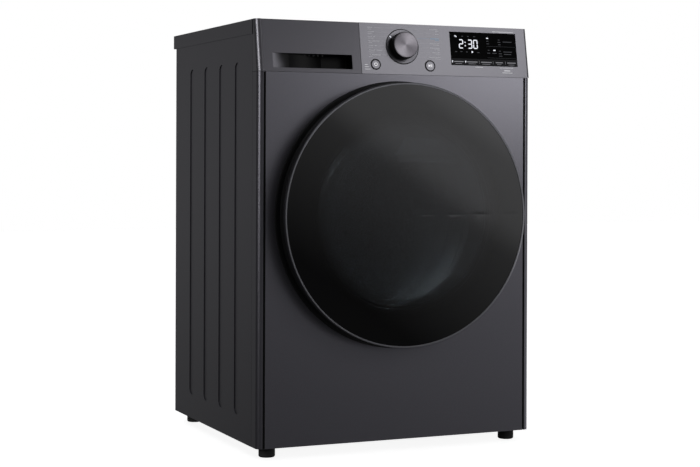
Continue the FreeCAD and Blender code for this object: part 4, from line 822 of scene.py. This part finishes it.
def make_display():
    """Time left, signs and bars that glow behind the window, and the printed strip of touch keys below."""
    face = face_height("display_window")
    low, high = face + 0.01, face + 0.07
    left = left_end("display_window")
    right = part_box("display_window")[1].x / MM - knob["pos_m"][0] / MM
    bright, dim = bmesh.new(), bmesh.new()
    wide, tall, thick, base = 8.2, 17.0, 2.1, 1.5
    for digit, offset in DIGITS:
        for index in STROKES[digit]:
            prism(bright, stroke_outline(index, left + offset, base, wide, tall, thick), low, high)
    for y in (base + 5, base + 12):
        prism(bright, disc(left + 34.6, y, 1.3), low, high)
    for start, end, y, bar_tall in LIT_BARS:
        prism(bright, capsule(left + start, left + end, y, bar_tall), low, high)
    prism(bright, disc(left + 49.6, -6.2, 1.9), low, high)
    for x, y, length in DIM_BARS:
        prism(dim, capsule(left + x, left + x + length, y, 1.3), low, high)
    for y in (6.6, -17.4):
        prism(dim, capsule(left + 84, right - 3, y, 0.3), low, high)
    as_piece("display_lit_segments", bright, segment_white, "cabinet", panel)
    as_piece("display_dim_segments", dim, segment_dim, "cabinet", panel)

    strip, keys, lit = bmesh.new(), bmesh.new(), bmesh.new()
    strip_low, strip_high = -34.2, -20.4
    strip_left, strip_right = left + 0.6, right - 0.6
    lower_edge = [(strip_left, strip_low), (strip_right, strip_low)]
    upper_edge = [(strip_right, strip_high), (strip_left, strip_high)]
    prism(strip, lower_edge + upper_edge, low - 0.005, low + 0.02)
    as_piece("touch_strip", strip, touch_grey, "cabinet", panel)
    for x, length in TOUCH_KEYS:
        prism(keys, capsule(left + x, left + x + length, -27.0, 1.8), low + 0.02, high)
        prism(keys, capsule(left + x + 3, left + x + length - 4, -31.0, 0.8), low + 0.02, high)
    for x in (64, 96, 125):
        prism(keys, capsule_upright(left + x, -30.4, -24.0, 0.5), low + 0.02, high)
    for x in (2.6, 32.6):
        prism(lit, capsule(left + x - 1.2, left + x + 1.6, -26.0, 2.0), low + 0.02, high)
        prism(lit, capsule_upright(left + x, -29.5, -25.0, 1.1), low + 0.02, high)
    as_piece("touch_key_marks", keys, printed_dim, "cabinet", panel)
    as_piece("touch_key_lights", lit, segment_white, "cabinet", panel)


make_display()


def make_knob_light():
    """The lit bar on the ring that points at the chosen programme."""
    shape = bmesh.new()
    face = face_height("knob_ring")
    prism(shape, capsule_upright(0, 29.6, 34.2, 1.7), face - 0.02, face + 0.06)
    turned = panel @ Matrix.Rotation(math.radians(53), 4, "Z")
    as_piece("knob_ring_light", shape, segment_white, "cabinet", turned)


make_knob_light()


def shade_ring_on_panel(name, node, radius, width, height):
    """A thin raised black ring on the panel round a node's centre, laid there as painted shade of the seam
    round it.
    """
    centre = on_panel(node)
    base = face_height("control_fascia")
    shape = bmesh.new()
    lathe(
        shape,
        [
            (radius, base - 0.3),
            (radius, base + height),
            (radius + 0.2, base + height + 0.1),
            (radius + width - 0.2, base + height + 0.1),
            (radius + width, base + height - 0.1),
            (radius + width, base - 0.3),
            (radius, base - 0.3),
        ],
    )
    place = panel @ Matrix.Translation((centre.x * MM, centre.y * MM, 0))
    as_piece(name, shape, finish["black_plastic"], "cabinet", place)


def width_of(node):
    """A node's width, in mm."""
    low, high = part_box(node)
    return (high.x - low.x) / MM


shade_ring_on_panel("knob_outline", "knob_ring", width_of("knob_ring") / 2 + 0.1, 0.9, 0.3)
shade_ring_on_panel("power_surround", "power_button", width_of("power_button") / 2 + 0.3, 1.3, 0.25)
shade_ring_on_panel("start_surround", "start_button", width_of("start_button") / 2 + 0.3, 1.3, 0.25)


def make_corner_crease_shade():
    """Black strips laid in the crease beside each front corner as its painted shade."""
    low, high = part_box("front_panel")
    front = low.y / MM
    crease = high.x / MM - 13.4
    half_wide, proud = 2.6, 0.5
    for side, name in ((-1, "corner_seal_left"), (1, "corner_seal_right")):
        shape = bmesh.new()
        outline = [
            (side * crease + half_wide * math.cos(turn), front + 0.2 - proud * math.sin(turn))
            for turn in (math.radians(step * 20) for step in range(10))
        ]
        prism(shape, outline, low.z / MM + 1, high.z / MM - 1)
        as_piece(name, shape, finish["seal_black"], "cabinet")


make_corner_crease_shade()


def make_pocket_ribs():
    """Short grip ribs that hang under the top edge of the drawer's handle pocket."""
    shape = bmesh.new()
    top_edge = on_panel("drawer_front").y - 14.7
    first, step, wide, behind = left_end("drawer_front") + 80, 9.5, 3.2, -12.0
    for index in range(6):
        rib = capsule_upright(first + step * index, top_edge - 4.5, top_edge + 1.5, wide)
        prism(shape, rib, behind, -8.2 - 0.4 * index)
    as_piece("pocket_ribs", shape, finish["black_plastic"], "drawer", panel)


make_pocket_ribs()


def make_door_rings():
    """Two thin retaining rings that hold the bowl's flange in the door, seen faintly through the glass."""
    flange = -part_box("door_window")[0].y / MM
    for name, radius, width in (("bowl_clamp_ring", 183.0, 2.2), ("bowl_outer_ring", 194.5, 1.4)):
        shape = bmesh.new()
        profile = [
            (radius, flange + 0.1),
            (radius, flange + 0.9),
            (radius + width / 2, flange + 1.3),
            (radius + width, flange + 0.9),
            (radius + width, flange + 0.1),
            (radius, flange + 0.1),
        ]
        lathe(shape, profile, steps=128)
        as_piece(name, shape, finish["steel_hardware"], "door", door)


make_door_rings()


def make_drum_holes():
    """Rows of 5 mm air holes between the paddles, as dark discs of painted shade that lie on the drum's
    wall.
    """
    low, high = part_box("drum_shell")
    wall = high.x / MM - 1.0
    rows, around = 12, 66
    paddles, half_paddle = (270, 30, 150), 14
    shape = bmesh.new()
    for turn in range(around):
        angle = 360 * turn / around
        if min(abs((angle - at + 180) % 360 - 180) for at in paddles) < half_paddle:
            continue
        spin = Matrix.Rotation(math.radians(angle), 4, "Z")
        for row in range(rows):
            depth = -(low.y / MM + 40 + 27 * (row + 0.5 * (turn % 2)))
            spot = Matrix.Translation((wall * MM, 0, depth * MM))
            seat = spin @ spot @ Matrix.Rotation(math.pi / 2, 4, "Y")
            first = len(shape.verts)
            prism(shape, disc(0, 0, 2.5, 8), -0.25, -0.02)
            shape.verts.ensure_lookup_table()
            bmesh.ops.transform(shape, matrix=seat, verts=shape.verts[first:])
    as_piece("drum_holes", shape, finish["black_plastic"], "drum", door)


make_drum_holes()


def make_drum_beads():
    """Rounded stiffening beads rolled into the drum's wall, every 67 mm from its mouth."""
    low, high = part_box("drum_shell")
    wall, bead, steps = high.x / MM - 1.0, 2.4, 8
    shape = bmesh.new()
    for index in range(5):
        depth = -(low.y / MM + 34 + 67 * index)
        turns = [math.radians(180 * step / steps - 90) for step in range(steps + 1)]
        profile = [(wall - 0.05 - bead * math.cos(turn), depth + bead * math.sin(turn)) for turn in turns]
        lathe(shape, [*profile, profile[0]], steps=144)
    as_piece("drum_beads", shape, finish["steel_hardware"], "drum", door)


make_drum_beads()


def make_tank_funnel():
    """The dished cover in the mouth of the water tank, with the drain hole that the water runs through."""
    low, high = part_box("water_tank")
    middle, back, top = (low.x + high.x) / 2 / MM, high.y / MM, high.z / MM
    half_wide, half_deep, corner = (high.x - low.x) / MM / 2 - 50.6, 59.4, 9
    centre_y = back - 120
    outline = []
    for turn, (right, rear) in enumerate(((1, 1), (-1, 1), (-1, -1), (1, -1))):
        for step in range(6):
            angle = math.radians(90 * turn + 18 * step)
            outline.append(
                (
                    middle + right * (half_wide - corner) + corner * math.cos(angle),
                    centre_y + rear * (half_deep - corner) + corner * math.sin(angle),
                )
            )
    shape = bmesh.new()
    prism(shape, outline, top - 2.2, top - 0.6)
    as_piece("tank_funnel", shape, finish["pale_plastic"], "drawer")
    shape = bmesh.new()
    lathe(shape, [(13, 0), (15, 0), (15, 0.35), (13.6, 0.45), (13, 0.3), (13, 0)], steps=64)
    place = Matrix.Translation((middle * MM, centre_y * MM, (top - 0.6) * MM))
    as_piece("tank_drain_lip", shape, finish["inner_plastic"], "drawer", place)
    # The drain hole is a black disc of painted shade.
    shape = bmesh.new()
    prism(shape, disc(0, 0, 12.6), 0.02, 0.12)
    as_piece("tank_drain_hole", shape, finish["black_plastic"], "drawer", place)


make_tank_funnel()

# ---------------------------------------------------------------------------------------------------
# Floor, light and camera
# ---------------------------------------------------------------------------------------------------

# Brightness of the room by how far a direction points along ROOM_RISE, up and to the right, from -1 to 1.
ROOM_RISE = (0.6, 0.0, 0.8)
ROOM_LEVELS = (
    (-0.98, 0.03),
    (-0.34, 0.05),
    (-0.22, 0.13),
    (-0.13, 0.17),
    (-0.04, 0.06),
    (0.12, 0.04),
    (0.2, 0.17),
    (0.262, 0.28),
    (0.292, 0.6),
    (0.345, 0.7),
    (0.405, 1.5),
    (0.46, 0.5),
    (0.55, 0.15),
    (0.98, 0.2),
)


def lay_floor():
    """A matt white floor just under the feet, lit from within so that it stays white and lights nothing."""
    shape = bmesh.new()
    half, sunk = 9.0, -0.0005
    corners = ((-1, -1), (1, -1), (1, 1), (-1, 1))
    shape.faces.new([shape.verts.new((x * half, y * half, sunk)) for x, y in corners])
    mesh = bpy.data.meshes.new("floor")
    shape.to_mesh(mesh)
    shape.free()
    floor = bpy.data.objects.new("floor", mesh)
    bpy.context.scene.collection.objects.link(floor)
    material, tree, shader = new_finish("matt_white_floor", Roughness=0.9, IOR=1.4)
    grain(tree, shader, ("#f4f4f4", "#fafafa"), (0.85, 0.95), 40.0, 0.05)
    shader.inputs["Emission Color"].default_value = (1.0, 1.0, 1.0, 1.0)
    shader.inputs["Emission Strength"].default_value = 0.9
    mesh.materials.append(material)
    floor.visible_glossy = False
    floor.visible_diffuse = False
    floor.visible_transmission = False
    floor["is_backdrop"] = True


def light_room():
    """A soft room that is brightest up and to the right of the door, and white where it is looked at."""
    world = bpy.data.worlds.new("studio")
    bpy.context.scene.world = world
    world.use_nodes = True
    tree = world.node_tree
    tree.nodes.clear()
    place = add(tree, "ShaderNodeTexCoord")
    along = add(
        tree,
        "ShaderNodeVectorMath",
        {1: ROOM_RISE},
        {0: place.outputs["Generated"]},
        operation="DOT_PRODUCT",
    )
    share = add(
        tree, "ShaderNodeMapRange", {"From Min": -1.0, "From Max": 1.0}, {"Value": along.outputs["Value"]}
    )
    ramp = add(tree, "ShaderNodeValToRGB", links={"Fac": share.outputs["Result"]})
    for reach, level in ROOM_LEVELS:
        stop = ramp.color_ramp.elements.new((reach + 1) / 2)
        stop.color = (level, level, level * 1.02, 1)
    ramp.color_ramp.elements.remove(ramp.color_ramp.elements[0])
    ramp.color_ramp.elements.remove(ramp.color_ramp.elements[-1])
    rise = add(tree, "ShaderNodeSeparateXYZ", links={"Vector": place.outputs["Generated"]})
    strength = add(
        tree,
        "ShaderNodeMapRange",
        {"From Min": 0.18, "From Max": 0.42, "To Min": 1.6, "To Max": 0.6},
        {"Value": rise.outputs["Z"]},
    )
    soft = add(
        tree,
        "ShaderNodeBackground",
        links={"Color": ramp.outputs["Color"], "Strength": strength.outputs["Result"]},
    )
    white = add(tree, "ShaderNodeBackground", {"Color": (1, 1, 1, 1), "Strength": 1.0})
    ray = add(tree, "ShaderNodeLightPath")
    both = add(
        tree,
        "ShaderNodeMixShader",
        links={0: ray.outputs["Is Camera Ray"], 1: soft.outputs[0], 2: white.outputs[0]},
    )
    add(tree, "ShaderNodeOutputWorld", links={"Surface": both.outputs[0]})


def add_lamp(name, spot, target, wide, tall, watts, only):
    """A soft rectangular lamp at spot, facing target, screened off from all but the pieces in only."""
    data = bpy.data.lights.new(name, "AREA")
    data.shape, data.size, data.size_y, data.energy = "RECTANGLE", wide, tall, watts
    lamp = bpy.data.objects.new(name, data)
    lamp.location = spot
    lamp.rotation_euler = (Vector(target) - Vector(spot)).to_track_quat("-Z", "Y").to_euler()
    bpy.context.scene.collection.objects.link(lamp)
    lit = bpy.data.collections.new(name + "_lights")
    for piece in sorted(only):
        lit.objects.link(bpy.data.objects[piece])
    lamp.light_linking.receiver_collection = lit
    lamp.visible_camera = False
    lamp.visible_transmission = False


def add_camera():
    """From the front left, level with the middle of the machine, at a long focal length."""
    data = bpy.data.cameras.new("camera")
    data.sensor_width = 36.0
    data.lens = 81.77
    data.shift_x, data.shift_y = -0.001, -0.1073
    camera = bpy.data.objects.new("camera", data)
    camera.location = (-1.3632, -3.0997, 0.5839)
    yaw, pitch, roll = math.radians(-23.764), math.radians(-0.064), math.radians(0.196)
    level = Matrix.Rotation(yaw, 4, "Z") @ Matrix.Rotation(math.pi / 2 + pitch, 4, "X")
    camera.rotation_euler = (level @ Matrix.Rotation(roll, 4, "Z")).to_euler()
    bpy.context.scene.collection.objects.link(camera)
    bpy.context.scene.camera = camera


def riding(*bodies):
    """Names of all the shown pieces that ride on these bodies."""
    return {piece.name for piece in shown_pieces() if set(body_of(piece)) & set(bodies)}


lay_floor()
light_room()

# The lamps are screened from the door and the display, whose glass mirrors only the soft room.
SIDES = {"side_panel_left", "side_panel_right"}
SHEET_METAL = SIDES | {"front_panel", "top_panel", "control_frame"}
CASING = SHEET_METAL | {"back_panel", "rear_duct_cover", "power_inlet", "cabinet_screws", "base_frame"}
FEET = riding("foot_front_left", "foot_front_right", "foot_back_left", "foot_back_right")
PANEL = riding("knob", "power_button", "start_button") | {
    "control_fascia",
    "control_frame",
    "knob_ring",
    "knob_outline",
    "programme_marks_left",
    "programme_marks_right",
    "programme_mark_blue",
    "panel_small_print",
}
DRUM_SHEET = riding("drum") - {"drum_lifters"}

# Each lamp's name, where it stands, what it faces, its width, height and watts, and the pieces it lights.
LAMPS = (
    ("corner_strip", (-2.6, -1.25, 1.3), (-0.3, -0.24, 0.5), 1.1, 1.4, 34, (SHEET_METAL | FEET) - SIDES),
    ("side_strip", (-2.6, -1.25, 1.5), (-0.3, -0.1, 0.6), 1.1, 1.4, 27, SIDES),
    ("face_softbox", (0.95, -1.35, 1.1), (0.2, -0.24, 0.75), 0.8, 0.8, 8, {"front_panel"}),
    ("drawer_softbox", (0.95, -1.35, 1.1), (0.2, -0.24, 0.75), 0.8, 0.8, 4, riding("drawer")),
    ("lid_softbox", (1.2, 2.6, 1.7), (0.0, 0.2, 0.8), 1.8, 1.8, 8, {"top_panel"}),
    ("right_softbox", (3.0, 0.6, 1.4), (0.3, 0.0, 0.5), 1.6, 1.6, 30, {"side_panel_right"}),
    ("left_softbox", (-3.0, 0.9, 1.4), (-0.3, 0.1, 0.5), 1.2, 1.2, 4, {"side_panel_left"}),
    ("panel_softbox", (0.72, -1.3, 1.3), (0.15, -0.24, 0.8), 0.8, 0.5, 4.5, PANEL),
    ("back_softbox", (1.2, 2.6, 1.7), (0.0, 0.2, 0.5), 1.8, 1.8, 60, (CASING | FEET) - {"top_panel"}),
    ("drum_lamp", (0.02, -0.12, 0.65), (0.0, 0.15, 0.4), 0.06, 0.06, 0.8, DRUM_SHEET),
)
for lamp_row in LAMPS:
    add_lamp(*lamp_row)
add_camera()
bpy.context.scene.view_settings.view_transform = "Standard"
